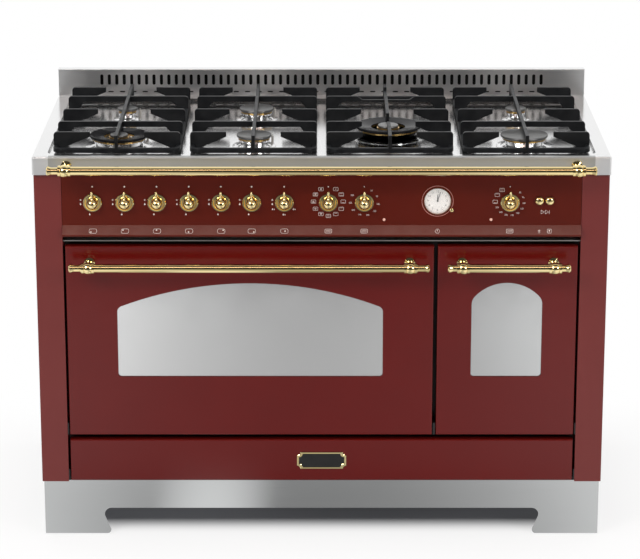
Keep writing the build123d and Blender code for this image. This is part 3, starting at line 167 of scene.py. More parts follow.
def blend_colours(tree, factor, first, second):
    """A colour between two others, each a tuple or a socket."""
    node = add(tree, "ShaderNodeMix", [(factor, "Factor")], data_type="RGBA")
    for index, colour in zip(COLOUR_INPUTS, (first, second)):
        if isinstance(colour, tuple):
            node.inputs[index].default_value = (*colour, 1)
        else:
            tree.links.new(colour, node.inputs[index])
    return node.outputs[COLOUR_OUTPUT]


def blend_values(tree, factor, first, second):
    """A value between two sockets."""
    links = [(factor, "Factor"), *zip((first, second), VALUE_INPUTS)]
    return add(tree, "ShaderNodeMix", links).outputs[VALUE_OUTPUT]


def tinted(tree, value, deep, light):
    """A colour that noise carries from deep to light."""
    return blend_colours(tree, spread(tree, value, 0, 1), deep, light)


def bumped(tree, shader, height, strength, distance):
    """A bump from a height socket."""
    node = add(tree, "ShaderNodeBump", [(height, "Height")], Strength=strength, Distance=distance)
    feed(shader, "Normal", node.outputs[0])


def by_place(tree, axis, edge, above):
    """1 on one side of a level along an axis of the part, else 0."""
    test = "GREATER_THAN" if above else "LESS_THAN"
    return calc(tree, test, along(tree, places(tree))[axis], edge)


def ring_mask(tree, x, y, inner, outer):
    """1 between two radii round an upright axis of the part, else 0."""
    split = along(tree, places(tree))
    flat = add(tree, "ShaderNodeCombineXYZ", [(split["X"], "X"), (split["Y"], "Y")])
    away = add(tree, "ShaderNodeVectorMath", [(flat.outputs[0], 0)], operation="DISTANCE")
    away.inputs[1].default_value = (x, y, 0)
    far = calc(tree, "GREATER_THAN", away.outputs["Value"], inner)
    near = calc(tree, "LESS_THAN", away.outputs["Value"], outer)
    return calc(tree, "MULTIPLY", far, near)


def grey(tone):
    """A neutral colour."""
    return (tone, tone, tone)


# Materials

# Texture scales, in features a metre
ENAMEL_DRIFT, ENAMEL_CLOUD, ENAMEL_PEEL = 3.5, 42, 420
STEEL_GRAIN, STEEL_DRIFT = 1500, 2.2
METAL_TARNISH = 9
PANE_DRIFT, PANE_WIPE = 1.6, 14
LAMP_RIPPLE = 160
FRAME_MOTTLE, FRAME_SKIN = 30, 320
CAP_MOTTLE, CAP_SKIN = 70, 500
WATCH_SMEAR = 90
# How much coarser the mottle of a solid colour is than its skin
MOTTLE_SIZE = 12
# How textures are stretched along X, Y and Z
STEEL_STRETCH = (0.01, 1, 1)
METAL_STRETCH = (1, 3, 3)
FRAME_STRETCH = (0.3, 1, 1)
# How far a roughness rises above its lowest value, or its lowest and highest value
ENAMEL_RISE, METAL_RISE, SOLID_RISE = 0.07, 0.08, 0.15
PANE_GLOSS = (0.10, 0.16)
LAMP_GLOSS = (0.03, 0.09)
WATCH_GLOSS = (0.03, 0.10)
FRAME_SATIN = (0.38, 0.5)
CAP_SATIN, CAP_GLOSS = (0.30, 0.42), (0.12, 0.18)
# Bumps: strength and height in metres, or the height alone
ENAMEL_BUMP = (0.05, 0.0004)
STEEL_BUMP = (0.01, 0.0002)
LAMP_BUMP = (0.2, 0.0005)
FRAME_BUMP = (0.08, 0.0005)
CAP_BUMP = (0.04, 0.0004)
METAL_BUMP, SOLID_BUMP = 0.0003, 0.0006
# Looks of single places: the apron, the channel, the cups, the caps and the glasses
APRON_SATIN = 0.30
# The apron's grey is painted shade on the hob's one steel; its pale ends are a painted reflection.
APRON_PAINTED_SHADE, APRON_END_PAINTED_REFLECTION = (0.560, 0.568, 0.560), grey(0.92)
# Painted shade: the inside of the backsplash's channel is coloured near black.
CHANNEL_PAINTED_SHADE = grey(0.05)
CUP_BLACK = (0.016, 0.016, 0.017)
CAP_SHINE, CAP_LEVEL = 0.85, 0.04
PANE_SHINE = 0.95
PANE_DEEP, PANE_LIGHT = 0.02, (0.02, 0.03, 0.03)
LAMP_CLEAR = 0.9
WATCH_ALPHA = 0.10


def enamel(name, colour, deep, gloss, veil):
    """Stove enamel: a slow drift of colour, a cloudy gloss and a faint orange peel."""
    material, tree, shader = new_material(name)
    where = places(tree)
    drift = noise(tree, where, ENAMEL_DRIFT, detail=3)
    feed(shader, "Base Color", tinted(tree, drift, deep, colour))
    cloud = noise(tree, where, ENAMEL_CLOUD, detail=6)
    feed(shader, "Roughness", spread(tree, cloud, gloss, gloss + ENAMEL_RISE))
    shader.inputs["Specular IOR Level"].default_value = veil
    bumped(tree, shader, noise(tree, where, ENAMEL_PEEL, detail=2), *ENAMEL_BUMP)
    return material


def brushed(name, light, dark, rough):
    """Steel with a long level grain: fine streaks of tone, gloss and height along X."""
    material, tree, shader = new_material(name)
    where = places(tree)
    grain = noise(tree, where, STEEL_GRAIN, STEEL_STRETCH, detail=5, rough=0.65)
    wide = noise(tree, where, STEEL_DRIFT, detail=2)
    tone = spread(tree, calc(tree, "ADD", grain, wide), 0, 1, start=0.7, end=1.3)
    feed(shader, "Base Color", blend_colours(tree, tone, dark, light))
    feed(shader, "Roughness", spread(tree, grain, rough, rough + METAL_RISE))
    shader.inputs["Metallic"].default_value = 1.0
    bumped(tree, shader, grain, *STEEL_BUMP)
    return material


def hob_steel(name):
    """The hob's steel: bright on top, a satin apron in front darkened by painted shade, and pale
    ends that are a painted reflection.
    """
    material = brushed(name, grey(0.88), grey(0.80), 0.12)
    tree, shader, tint, shine = shader_of(material)
    apron = by_place(tree, "Y", FRONT_Y + APRON_BACK, False)
    feed(shader, "Roughness", calc(tree, "MULTIPLY_ADD", apron, APRON_SATIN, shine))
    front = APRON_PAINTED_SHADE
    end = cad_box[1].x - APRON_END_W
    for edge, above in ((-end, False), (end, True)):
        front = blend_colours(tree, by_place(tree, "X", edge, above), front, APRON_END_PAINTED_REFLECTION)
    feed(shader, "Base Color", blend_colours(tree, apron, tint, front))
    return material


def splash_steel(name):
    """The backsplash: brushed outside, and painted shade inside its channel, so that the slots read
    as holes.
    """
    material = brushed(name, (0.94, 0.95, 0.95), (0.86, 0.87, 0.87), 0.30)
    tree, shader, tint, _ = shader_of(material)
    inside = by_place(tree, "Y", SPLASH_LOW.y + CHANNEL_SKIN, True)
    for axis, edge, above in (
        ("Y", SPLASH_HIGH.y - CHANNEL_SKIN, False),
        ("Z", SPLASH_HIGH.z - CHANNEL_SKIN, False),
        ("X", SPLASH_LOW.x + CHANNEL_SKIN, True),
        ("X", SPLASH_HIGH.x - CHANNEL_SKIN, False),
    ):
        inside = calc(tree, "MULTIPLY", inside, by_place(tree, axis, edge, above))
    feed(shader, "Base Color", blend_colours(tree, inside, tint, CHANNEL_PAINTED_SHADE))
    return material


def metal(name, light, dark, rough, grain=60, depth=0.02):
    """Polished or cast metal: soft tarnish in the colour, fine scratches in the gloss."""
    material, tree, shader = new_material(name)
    where = places(tree)
    tarnish = noise(tree, where, METAL_TARNISH, detail=6)
    feed(shader, "Base Color", tinted(tree, tarnish, dark, light))
    wipe = noise(tree, where, grain, METAL_STRETCH, detail=5)
    feed(shader, "Roughness", spread(tree, wipe, rough, rough + METAL_RISE))
    shader.inputs["Metallic"].default_value = 1.0
    bumped(tree, shader, wipe, depth, METAL_BUMP)
    return material


def solid(name, colour, deep, rough, grain=300, depth=0.15, level=0.5):
    """Paint, plastic, rubber or iron: mottled colour, uneven gloss and a fine skin."""
    material, tree, shader = new_material(name)
    where = places(tree)
    skin = noise(tree, where, grain, detail=4)
    mottle = noise(tree, where, grain / MOTTLE_SIZE, detail=5)
    feed(shader, "Base Color", tinted(tree, mottle, deep, colour))
    feed(shader, "Roughness", spread(tree, mottle, rough, rough + SOLID_RISE))
    shader.inputs["Specular IOR Level"].default_value = level
    bumped(tree, shader, skin, depth, SOLID_BUMP)
    return material


def mirror_pane(name, tone):
    """Oven glass with a reflective coat, which hides the oven behind it."""
    material, tree, shader = new_material(name)
    where = places(tree)
    light = tuple(tone + more for more in PANE_LIGHT)
    drift = noise(tree, where, PANE_DRIFT, detail=2)
    feed(shader, "Base Color", tinted(tree, drift, grey(tone - PANE_DEEP), light))
    feed(shader, "Roughness", spread(tree, noise(tree, where, PANE_WIPE, detail=5), *PANE_GLOSS))
    shader.inputs["Metallic"].default_value = PANE_SHINE
    return material


def clear_glass(name):
    """Pressed lamp glass with a slight ripple."""
    material, tree, shader = new_material(name)
    ripple = noise(tree, places(tree), LAMP_RIPPLE, detail=2)
    tint = blend_colours(tree, ripple, (0.86, 0.88, 0.86), (0.96, 0.97, 0.95))
    feed(shader, "Base Color", tint)
    feed(shader, "Roughness", spread(tree, ripple, *LAMP_GLOSS))
    shader.inputs["Transmission Weight"].default_value = LAMP_CLEAR
    bumped(tree, shader, ripple, *LAMP_BUMP)
    return material


def watch_glass(name):
    """Thin clear glass with a few smears, for the clock."""
    material, tree, shader = new_material(name)
    smear = noise(tree, places(tree), WATCH_SMEAR, detail=3)
    feed(shader, "Base Color", blend_colours(tree, smear, grey(0.9), grey(1)))
    feed(shader, "Roughness", spread(tree, smear, *WATCH_GLOSS))
    shader.inputs["Alpha"].default_value = WATCH_ALPHA
    return material


def frame_paint(name):
    """Painted shade: black on the frame behind the doors, bare steel on the folded ledge that
    stands out of it.
    """
    material, tree, shader = new_material(name)
    where = places(tree)
    ledge = by_place(tree, "Y", FRAME_BACK_Y - LEDGE_OUT, False)
    mottle = noise(tree, where, FRAME_MOTTLE, FRAME_STRETCH, detail=5)
    # Painted shade: the frame's steel behind the doors is coloured near black.
    black = tinted(tree, mottle, (0.010, 0.008, 0.008), (0.018, 0.014, 0.014))
    steel = tinted(tree, mottle, (0.42, 0.40, 0.38), (0.56, 0.54, 0.52))
    feed(shader, "Base Color", blend_colours(tree, ledge, black, steel))
    feed(shader, "Metallic", ledge)
    feed(shader, "Roughness", spread(tree, mottle, *FRAME_SATIN))
    bumped(tree, shader, noise(tree, where, FRAME_SKIN, detail=3), *FRAME_BUMP)
    return material


def cup_metal(name, widest):
    """Burner cups: polished aluminium, and black above the flange on the widest burner."""
    material = metal(name, grey(0.90), grey(0.78), 0.12, grain=140)
    tree, shader, tint, _ = shader_of(material)
    x, y, _, outer = widest
    standing = by_place(tree, "Z", CUP_LOW_Z + CUP_FLANGE, True)
    black = calc(tree, "MULTIPLY", ring_mask(tree, x, y, 0, outer), standing)
    feed(shader, "Base Color", blend_colours(tree, black, tint, CUP_BLACK))
    return material


def cap_paint(name, ring_places):
    """Burner caps: satin grey lids, and black enamel on the wide rings of the ring burners."""
    material, tree, shader = new_material(name)
    where = places(tree)
    ring = calc(tree, "MAXIMUM", *(ring_mask(tree, *place) for place in ring_places))
    mottle = noise(tree, where, CAP_MOTTLE, detail=5)
    lid = tinted(tree, mottle, grey(0.15), (0.24, 0.24, 0.235))
    black = tinted(tree, mottle, (0.008, 0.008, 0.009), (0.014, 0.014, 0.015))
    shader.inputs["Specular IOR Level"].default_value = CAP_LEVEL
    feed(shader, "Base Color", blend_colours(tree, ring, lid, black))
    feed(shader, "Metallic", calc(tree, "SUBTRACT", CAP_SHINE, ring))
    satin, gloss = (spread(tree, mottle, *limits) for limits in (CAP_SATIN, CAP_GLOSS))
    feed(shader, "Roughness", blend_values(tree, ring, satin, gloss))
    bumped(tree, shader, noise(tree, where, CAP_SKIN, detail=3), *CAP_BUMP)
    return material


def ring_burner_places():
    """Centre, eye radius and outer radius of the ring burners, from the CAD values of the caps."""
    found = []
    for grate, behind, cap_r in RING_BURNERS:
        low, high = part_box(f"grate_{grate}")
        mid = (low.x + high.x) / 2
        found.append((mid, FRONT_Y + behind * MM, cap_r * MM * RING_EYE, cap_r * MM * RING_OUT))
    return found


RING_PLACES = ring_burner_places()
BRASS = metal("brass", (0.96, 0.81, 0.44), (0.91, 0.73, 0.35), 0.03, depth=0.003)
RED_DOOR = enamel("red_enamel_doors", (0.104, 0.0036, 0.0026), (0.094, 0.0030, 0.0022), 0.16, 0.36)
RED_FASCIA = enamel(
    "red_enamel_fascia", (0.084, 0.0092, 0.0046), (0.074, 0.0080, 0.0040), 0.10, 0.22)
# Painted light: the sides use a lighter copy of the doors' red enamel.
RED_SIDES_PAINTED_LIGHT = enamel("red_enamel_sides_painted_light", (0.145, 0.0140, 0.0115), (0.130, 0.0115, 0.0095), 0.40, 0.50)
STEEL_HOB = hob_steel("hob_steel")
STEEL_BACK = splash_steel("backsplash_steel")
STEEL_PLINTH = brushed("plinth_steel", (0.64, 0.65, 0.65), (0.58, 0.59, 0.59), 0.17)
STEEL_LINER = brushed("liner_steel", grey(0.56), grey(0.44), 0.30)
ZINC = metal("zinc_sheet", (0.55, 0.56, 0.57), (0.42, 0.43, 0.44), 0.34, grain=25, depth=0.08)
IRON = solid("cast_iron", (0.011, 0.012, 0.013), (0.006, 0.0065, 0.0075), 0.34,
             grain=620, depth=0.25, level=0.22)
PLASTIC = solid("black_plastic", grey(0.028), grey(0.018), 0.45, grain=900)
RUBBER = solid("seal_rubber", (0.030, 0.029, 0.029), grey(0.018), 0.6, grain=500, depth=0.3)
OVEN = solid("oven_enamel", (0.075, 0.075, 0.085), (0.040, 0.040, 0.048), 0.28,
             grain=1200, depth=0.1)
WHITE = solid("dial_enamel", (0.80, 0.78, 0.75), (0.76, 0.74, 0.71), 0.3, grain=260, depth=0.04)
BLACK = solid("hand_paint", grey(0.014), grey(0.008), 0.35, grain=800)
PRINT = solid("white_print", (0.74, 0.66, 0.62), (0.60, 0.50, 0.46), 0.5, grain=900, depth=0.05)
PINK_RING = solid("pink_ring", (0.52, 0.24, 0.20), (0.42, 0.17, 0.14), 0.45,
                   grain=900, depth=0.05)
CERAMIC = solid("ceramic", (0.46, 0.45, 0.42), (0.36, 0.35, 0.33), 0.22, grain=400, depth=0.08)
LENS = solid("lamp_lens", (0.82, 0.50, 0.40), (0.72, 0.36, 0.28), 0.16, grain=600, depth=0.05)
FINISH = {
    "side_panels": RED_SIDES_PAINTED_LIGHT,
    "control_panel": RED_FASCIA,
    "main_door_panel": RED_DOOR,
    "small_door_panel": RED_DOOR,
    "storage_flap": RED_DOOR,
    "hob_top": STEEL_HOB,
    "backsplash": STEEL_BACK,
    "plinth": STEEL_PLINTH,
    "main_door_liner": STEEL_LINER,
    "small_door_liner": STEEL_LINER,
    "front_frame": frame_paint("frame_paint"),
    "rear_panel": ZINC,
    "base_tray": ZINC,
    "storage_box": ZINC,
    "door_hinges": solid("hinge_black", (0.016, 0.014, 0.014), (0.010, 0.009, 0.009), 0.45),
    "main_oven_cavity": OVEN,
    "small_oven_cavity": OVEN,
    "fan_cover": OVEN,
    "oven_racks": metal("rack_chrome", grey(0.82), grey(0.70), 0.10),
    "oven_elements": metal(
        "element_sheath", (0.16, 0.15, 0.14), (0.09, 0.08, 0.08), 0.45, grain=120),
    "main_door_glass": mirror_pane("mirror_glass", 0.76),
    # Painted shade: the small door's pane is a darker copy of the same coated glass.
    "small_door_glass": mirror_pane("small_mirror_glass_painted_shade", 0.58),
    "oven_lamps": clear_glass("lamp_glass"),
    "indicator_lamps": LENS,
    "door_seals": RUBBER,
    "cable_gland": PLASTIC,
    "switch_bodies": PLASTIC,
    "levelling_feet": PLASTIC,
    "spark_electrodes": CERAMIC,
    "gas_valves": metal(
        "valve_brass", (0.62, 0.48, 0.24), (0.48, 0.36, 0.17), 0.36, grain=200, depth=0.15),
    "gas_pipework": metal("gas_pipe", (0.62, 0.62, 0.63), (0.50, 0.50, 0.51), 0.3, grain=80),
    "fan_motor": solid("motor_black", (0.030, 0.030, 0.031), grey(0.018), 0.4, grain=200),
    "convection_fan": metal("fan_aluminium", grey(0.62), grey(0.48), 0.32, grain=90),
    "burner_cups": cup_metal("burner_aluminium", RING_PLACES[1]),
    "burner_rings": metal(
        "flame_brass", (0.80, 0.56, 0.22), (0.62, 0.40, 0.14), 0.28, grain=120, depth=0.08),
    "burner_caps": cap_paint("cap_enamel", RING_PLACES),
    "clock_case": metal("clock_brass", (0.78, 0.52, 0.40), (0.66, 0.42, 0.32), 0.18),
    "clock_dial": WHITE,
    "hour_hand": BLACK,
    "minute_hand": BLACK,
}


def finish_for(node):
    """The material of a CAD node: its own, or iron for the grates and brass for the rest."""
    if node in FINISH:
        return FINISH[node]
    return IRON if node.startswith("grate_") else BRASS


for node_name, node_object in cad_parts.items():
    node_object.data.materials.clear()
    node_object.data.materials.append(finish_for(node_name))


# Pieces that only the render needs

MERGE = 1e-7
MITRE_LIMIT = 0.4
CORNERS = ((1, 1), (-1, 1), (-1, -1), (1, -1))


def new_object(name, data):
    """An object in the scene's collection."""
    made = bpy.data.objects.new(name, data)
    bpy.context.collection.objects.link(made)
    return made


def settle(mesh, name, body, material):
    """Turns a bmesh into an object with a material that rides on a body."""
    bmesh.ops.recalc_face_normals(mesh, faces=mesh.faces)
    data = bpy.data.meshes.new(name)
    mesh.to_mesh(data)
    mesh.free()
    made = new_object(name, data)
    data.materials.append(material)
    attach(made, body)


def circle(u, v, r, steps):
    """Points round a circle, anticlockwise from the right."""
    turns = [math.tau * i / steps for i in range(steps)]
    return [(u + r * math.cos(turn), v + r * math.sin(turn)) for turn in turns]


def clock_point(u, v, r, degrees):
    """A point at a clockwise angle from straight up."""
    turn = math.radians(degrees)
    return u + r * math.sin(turn), v + r * math.cos(turn)


def offset_sides(points, half, closed):
    """The points to the left and to the right of a path, mitred at its corners."""
    left, right = [], []
    count = len(points)
    for i, point in enumerate(points):
        here = Vector((*point, 0))
        ways = []
        if closed or i > 0:
            ways.append((here - Vector((*points[(i - 1) % count], 0))).normalized())
        if closed or i < count - 1:
            ways.append((Vector((*points[(i + 1) % count], 0)) - here).normalized())
        way = sum(ways, Vector()).normalized()
        side = Vector((-way.y, way.x, 0))
        stretch = half / max(MITRE_LIMIT, side.dot(Vector((-ways[0].y, ways[0].x, 0))))
        left.append(tuple((here + side * stretch)[:2]))
        right.append(tuple((here - side * stretch)[:2]))
    return left, right


def rounded_box(u, v, width, height, r, steps=4):
    """The outline of a box with round corners, anticlockwise."""
    points = []
    for corner, (sx, sy) in enumerate(CORNERS):
        mid_u = u + sx * (width / 2 - r)
        mid_v = v + sy * (height / 2 - r)
        for i in range(steps + 1):
            turn = math.radians(90 * corner + 90 * i / steps)
            points.append((mid_u + r * math.cos(turn), mid_v + r * math.sin(turn)))
    return points


# Printed marks: thin closed prisms on a plane of the part

INK_OUT = 0.10 * MM
INK_IN = 0.04 * MM
ACROSS = (1, 0, 0)
UPRIGHT = (0, 0, 1)


class Ink:
    """Collects marks, drawn in millimetres, on a plane with an origin, a right and an up way."""

    def __init__(self, origin, right, up):
        self.origin = Vector(origin)
        self.right = Vector(right).normalized()
        self.up = Vector(up).normalized()
        self.out = self.right.cross(self.up).normalized()
        self.mesh = bmesh.new()

    def at(self, u, v, lift):
        """The point at (u, v) millimetres on the plane, lifted by metres."""
        return self.origin + self.right * u * MM + self.up * v * MM + self.out * lift

    def ring_of(self, points, lift):
        """New corners of the mesh at points of the plane."""
        return [self.mesh.verts.new(self.at(u, v, lift)) for u, v in points]

    def patch(self, points):
        """A filled outline."""
        top = self.ring_of(points, INK_OUT)
        low = self.ring_of(points, -INK_IN)
        self.mesh.faces.new(top)
        self.mesh.faces.new(low[::-1])
        count = len(points)
        for i in range(count):
            j = (i + 1) % count
            self.mesh.faces.new((low[i], low[j], top[j], top[i]))

    def line(self, points, width, closed=False):
        """A stroke along points, with square ends or closed on itself."""
        sides = offset_sides(points, width / 2, closed)
        rows = [self.ring_of(side, lift) for side in sides for lift in (INK_OUT, -INK_IN)]
        left_top, left_low, right_top, right_low = rows
        count = len(points)
        for i in range(count if closed else count - 1):
            j = (i + 1) % count
            self.mesh.faces.new((right_top[i], right_top[j], left_top[j], left_top[i]))
            self.mesh.faces.new((left_low[i], left_low[j], right_low[j], right_low[i]))
            self.mesh.faces.new((left_top[i], left_top[j], left_low[j], left_low[i]))
            self.mesh.faces.new((right_low[i], right_low[j], right_top[j], right_top[i]))
        if not closed:
            self.mesh.faces.new((left_top[0], left_low[0], right_low[0], right_top[0]))
            self.mesh.faces.new((right_top[-1], right_low[-1], left_low[-1], left_top[-1]))

    def bar(self, u, v, half, width):
        """A level stroke with its middle at (u, v)."""
        self.line([(u - half, v), (u + half, v)], width)

    def dot(self, u, v, r, steps=20):
        """A round spot."""
        self.patch(circle(u, v, r, steps))

    def words(self, body, u, v, size):
        """A number set in the plain built-in face, centred at (u, v)."""
        curve = bpy.data.curves.new("number", "FONT")
        curve.body = body
        curve.size = size * MM
        curve.align_x, curve.align_y = "CENTER", "CENTER"
        curve.extrude = (INK_OUT + INK_IN) / 2
        curve.resolution_u = 3
        holder = bpy.data.objects.new("number", curve)
        made = bpy.data.meshes.new_from_object(holder)
        middle = (INK_OUT - INK_IN) / 2
        for vertex in made.vertices:
            x, y, z = vertex.co
            vertex.co = self.at(u, v, middle + z) + self.right * x + self.up * y
        self.mesh.from_mesh(made)
        bpy.data.objects.remove(holder)
        bpy.data.curves.remove(curve)
        bpy.data.meshes.remove(made)

    def piece(self, name, body, material):
        """Makes the marks a piece that rides on a body."""
        bmesh.ops.remove_doubles(self.mesh, verts=self.mesh.verts, dist=MERGE)
        settle(self.mesh, name, body, material)


# A flame: its tip, and its bowl as height, radius and clockwise angles, for a size of 1
FLAME_TIP = 0.62
BOWL_UP, BOWL_R, BOWL_ANGLES = -0.12, 0.34, range(70, 291, 22)
# The long and short rays of a spark, for a size of 1
SPARK_RAYS = (0.6, 0.2)
# An oven sign and what is drawn in it, in millimetres
SIGN_W, SIGN_H, SIGN_CORNER, SIGN_STROKE = 9.6, 7.2, 1.2, 0.55
BAR_SIDE, BAR_EDGE, TEETH_EDGE = 1.8, 1.6, 1.4
BAR_HALF, BAR_UP = SIGN_W / 2 - BAR_SIDE, SIGN_H / 2 - BAR_EDGE
FAN_R, HUB_R, LAMP_R = 1.5, 0.5, 0.9
TEETH, TEETH_UP, TEETH_H, TEETH_STROKE = 6, SIGN_H / 2 - TEETH_EDGE, 0.9, 0.5


def flame(ink, u, v, size):
    """A small drop with a pointed top."""
    tip = [(u, v + FLAME_TIP * size)]
    bowl = [clock_point(u, v + BOWL_UP * size, BOWL_R * size, angle) for angle in BOWL_ANGLES]
    ink.patch((tip + bowl)[::-1])


def spark(ink, u, v, size):
    """A four-pointed star."""
    ink.patch([clock_point(u, v, size * SPARK_RAYS[i % 2], -45 * i) for i in range(8)])


def oven_sign(ink, u, v, shows):
    """An oven function: a box with heat at the top or bottom, a fan, a grill or a lamp."""
    ink.line(rounded_box(u, v, SIGN_W, SIGN_H, SIGN_CORNER), SIGN_STROKE, closed=True)
    if "top" in shows:
        ink.bar(u, v + BAR_UP, BAR_HALF, SIGN_STROKE)
    if "bottom" in shows:
        ink.bar(u, v - BAR_UP, BAR_HALF, SIGN_STROKE)
    if "fan" in shows:
        ink.line(circle(u, v, FAN_R, steps=14), SIGN_STROKE, closed=True)
        ink.dot(u, v, HUB_R, steps=8)
    if "grill" in shows:
        step = 2 * BAR_HALF / TEETH
        rows = (v + TEETH_UP, v + TEETH_UP - TEETH_H)
        teeth = [(u - BAR_HALF + step * i, rows[i % 2]) for i in range(TEETH + 1)]
        ink.line(teeth, TEETH_STROKE)
    if "lamp" in shows:
        ink.dot(u, v, LAMP_R, steps=10)


def middle_of(node):
    """X and Z in millimetres of a node's middle."""
    low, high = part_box(node)
    return (low.x + high.x) / 2 / MM, (low.z + high.z) / 2 / MM


def control_x(node):
    """X in millimetres of the middle of a knob, a button or the dial."""
    return middle_of(node)[0]


# Marks round a knob: places in millimetres from its axis, and sizes
KNOB_DISC_R = 19.5
KNOB_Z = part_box("burner_knob_1")[0].z / MM + KNOB_DISC_R
BURNER_KNOBS = range(1, 8)
DOT_UP = 34.0
BURNER_DOT, SELECTOR_DOT, NUMBER_DOT = 1.7, 1.2, 1.0
SIDE_MARK = 25.0
SPARK_UP, SPARK_SIZE = 5.5, 4.2
FULL_UP, FULL_SIZE = -3.5, 4.6
LOW_MARK, LOW_SIZE = (-6.5, -25.5), 4.2
# Steps of the last burner knob, and the place and size of each step's two flames
STEP_MARKS = ((-23.0, -14.5), (-0.5, -26.0), (20.5, -14.5))
STEP_FLAMES = ((-1.6, 0.0, 4.0), (1.9, -0.3, 3.0))
# Temperatures, and the clockwise angles of the first and last
NUMBERS = ("50", "75", "100", "125", "150", "175", "200", "225", "250")
NUMBER_R, NUMBER_UP, NUMBER_SIZE = 29.0, 1.0, 4.6
THERMOSTAT_TURN, SMALL_TURN = (32, 300), (45, 246)
# What the selector's signs show, clockwise from the off dot
SIGN_R, SELECTOR_UP, SELECTOR_STEP = 31.0, 2.0, 30
SELECTOR_SIGNS = (
    ("lamp",),
    ("top", "bottom"),
    ("bottom",),
    ("top",),
    ("grill",),
    ("grill", "bottom"),
    ("grill", "fan"),
    ("fan",),
    ("fan", "bottom"),
    ("fan", "top", "bottom"),
    ("fan", "lamp"),
)
# The small oven's signs, each with its clockwise angle
SMALL_SIGNS = ((271, ("bottom",)), (300, ("top",)), (327, ("top", "bottom")))
# Marks below the buttons: two arrows and a bar
ARROW_LEFTS, ARROW_W, ARROW_STROKE = (-7.0, 2.0), 7, 0.6
ARROW_MID, ARROW_HALF = KNOB_Z - 20.5, 4.0
ARROW_LOW, ARROW_HIGH = ARROW_MID - ARROW_HALF, ARROW_MID + ARROW_HALF
ARROW_BAR = 10.5
# Marks on the lip: boxes as width, height and corner radius
LIP_STROKE = 0.6
HOB_SIGN, HOB_STROKE = (15.5, 9.6, 3.2), 0.55
HOB_SPOTS = (
    (-4.2, -2.0), (-4.2, 2.2), (-1.2, 2.2), (-1.2, -2.0), (4.2, 2.2), (4.2, -2.0), (1.6, 0.0))
HOB_SPOT_R = 1.5
OVEN_LABEL, OVEN_STROKE = (14.0, 8.6, 2.0), 0.7
OVEN_BARS, OVEN_BAR_HALF = (-1.4, 1.4), 5.2
CLOCK_SIGN_R, CLOCK_SIGN_HANDS = 4.6, ((-1.8, 1.6), (0, 0), (0, 3.0))
LIP_SPARK_UP, LIP_SPARK_SIZE = 0.4, 5.5
SPARK_BAR_UP, SPARK_BAR_HALF = -3.6, 2.2
LAMP_SIGN = (8.4, 8.4, 1.0)
BULB_UP, BULB_R = 0.9, 1.6
BULB_BAR_UP, BULB_BAR_HALF = -1.8, 1.0


def burner_marks(ink, x, last):
    """Off dot, ignition and full flame at the left, and a low flame, or steps on the last knob."""
    ink.dot(x, KNOB_Z + DOT_UP, BURNER_DOT)
    spark(ink, x - SIDE_MARK, KNOB_Z + SPARK_UP, SPARK_SIZE)
    flame(ink, x - SIDE_MARK, KNOB_Z + FULL_UP, FULL_SIZE)
    if not last:
        flame(ink, x + LOW_MARK[0], KNOB_Z + LOW_MARK[1], LOW_SIZE)
        return
    for u, v in STEP_MARKS:
        for right, up, size in STEP_FLAMES:
            flame(ink, x + u + right, KNOB_Z + v + up, size)


def selector_marks(ink, x):
    """A ring of oven functions, with the off dot at the top."""
    ink.dot(x, KNOB_Z + DOT_UP, SELECTOR_DOT)
    for i, shows in enumerate(SELECTOR_SIGNS, start=1):
        oven_sign(ink, *clock_point(x, KNOB_Z + SELECTOR_UP, SIGN_R, SELECTOR_STEP * i), shows)


def number_ring(ink, x, start, end):
    """Temperatures clockwise round a knob."""
    ink.dot(x, KNOB_Z + DOT_UP, NUMBER_DOT)
    step = (end - start) / (len(NUMBERS) - 1)
    for i, number in enumerate(NUMBERS):
        place = clock_point(x, KNOB_Z + NUMBER_UP, NUMBER_R, start + step * i)
        ink.words(number, *place, NUMBER_SIZE)


def fascia_marks():
    """Everything that is printed on the upright part of the control panel."""
    ink = Ink((0, FRONT_Y, 0), ACROSS, UPRIGHT)
    for i in BURNER_KNOBS:
        burner_marks(ink, control_x(f"burner_knob_{i}"), i == BURNER_KNOBS[-1])
    selector_marks(ink, control_x("selector_knob"))
    number_ring(ink, control_x("thermostat_knob"), *THERMOSTAT_TURN)
    small_x = control_x("small_oven_knob")
    number_ring(ink, small_x, *SMALL_TURN)
    for angle, shows in SMALL_SIGNS:
        oven_sign(ink, *clock_point(small_x, KNOB_Z + NUMBER_UP, SIGN_R, angle), shows)
    mid = (control_x("ignition_button") + control_x("lamp_button")) / 2
    for u in ARROW_LEFTS:
        left = mid + u
        arrow = [(left, ARROW_LOW), (left + ARROW_W, ARROW_MID), (left, ARROW_HIGH)]
        ink.line(arrow, ARROW_STROKE, closed=True)
    ink.line([(mid + ARROW_BAR, ARROW_LOW), (mid + ARROW_BAR, ARROW_HIGH)], ARROW_STROKE)
    ink.piece("fascia_marks", "cooker_body", PRINT)


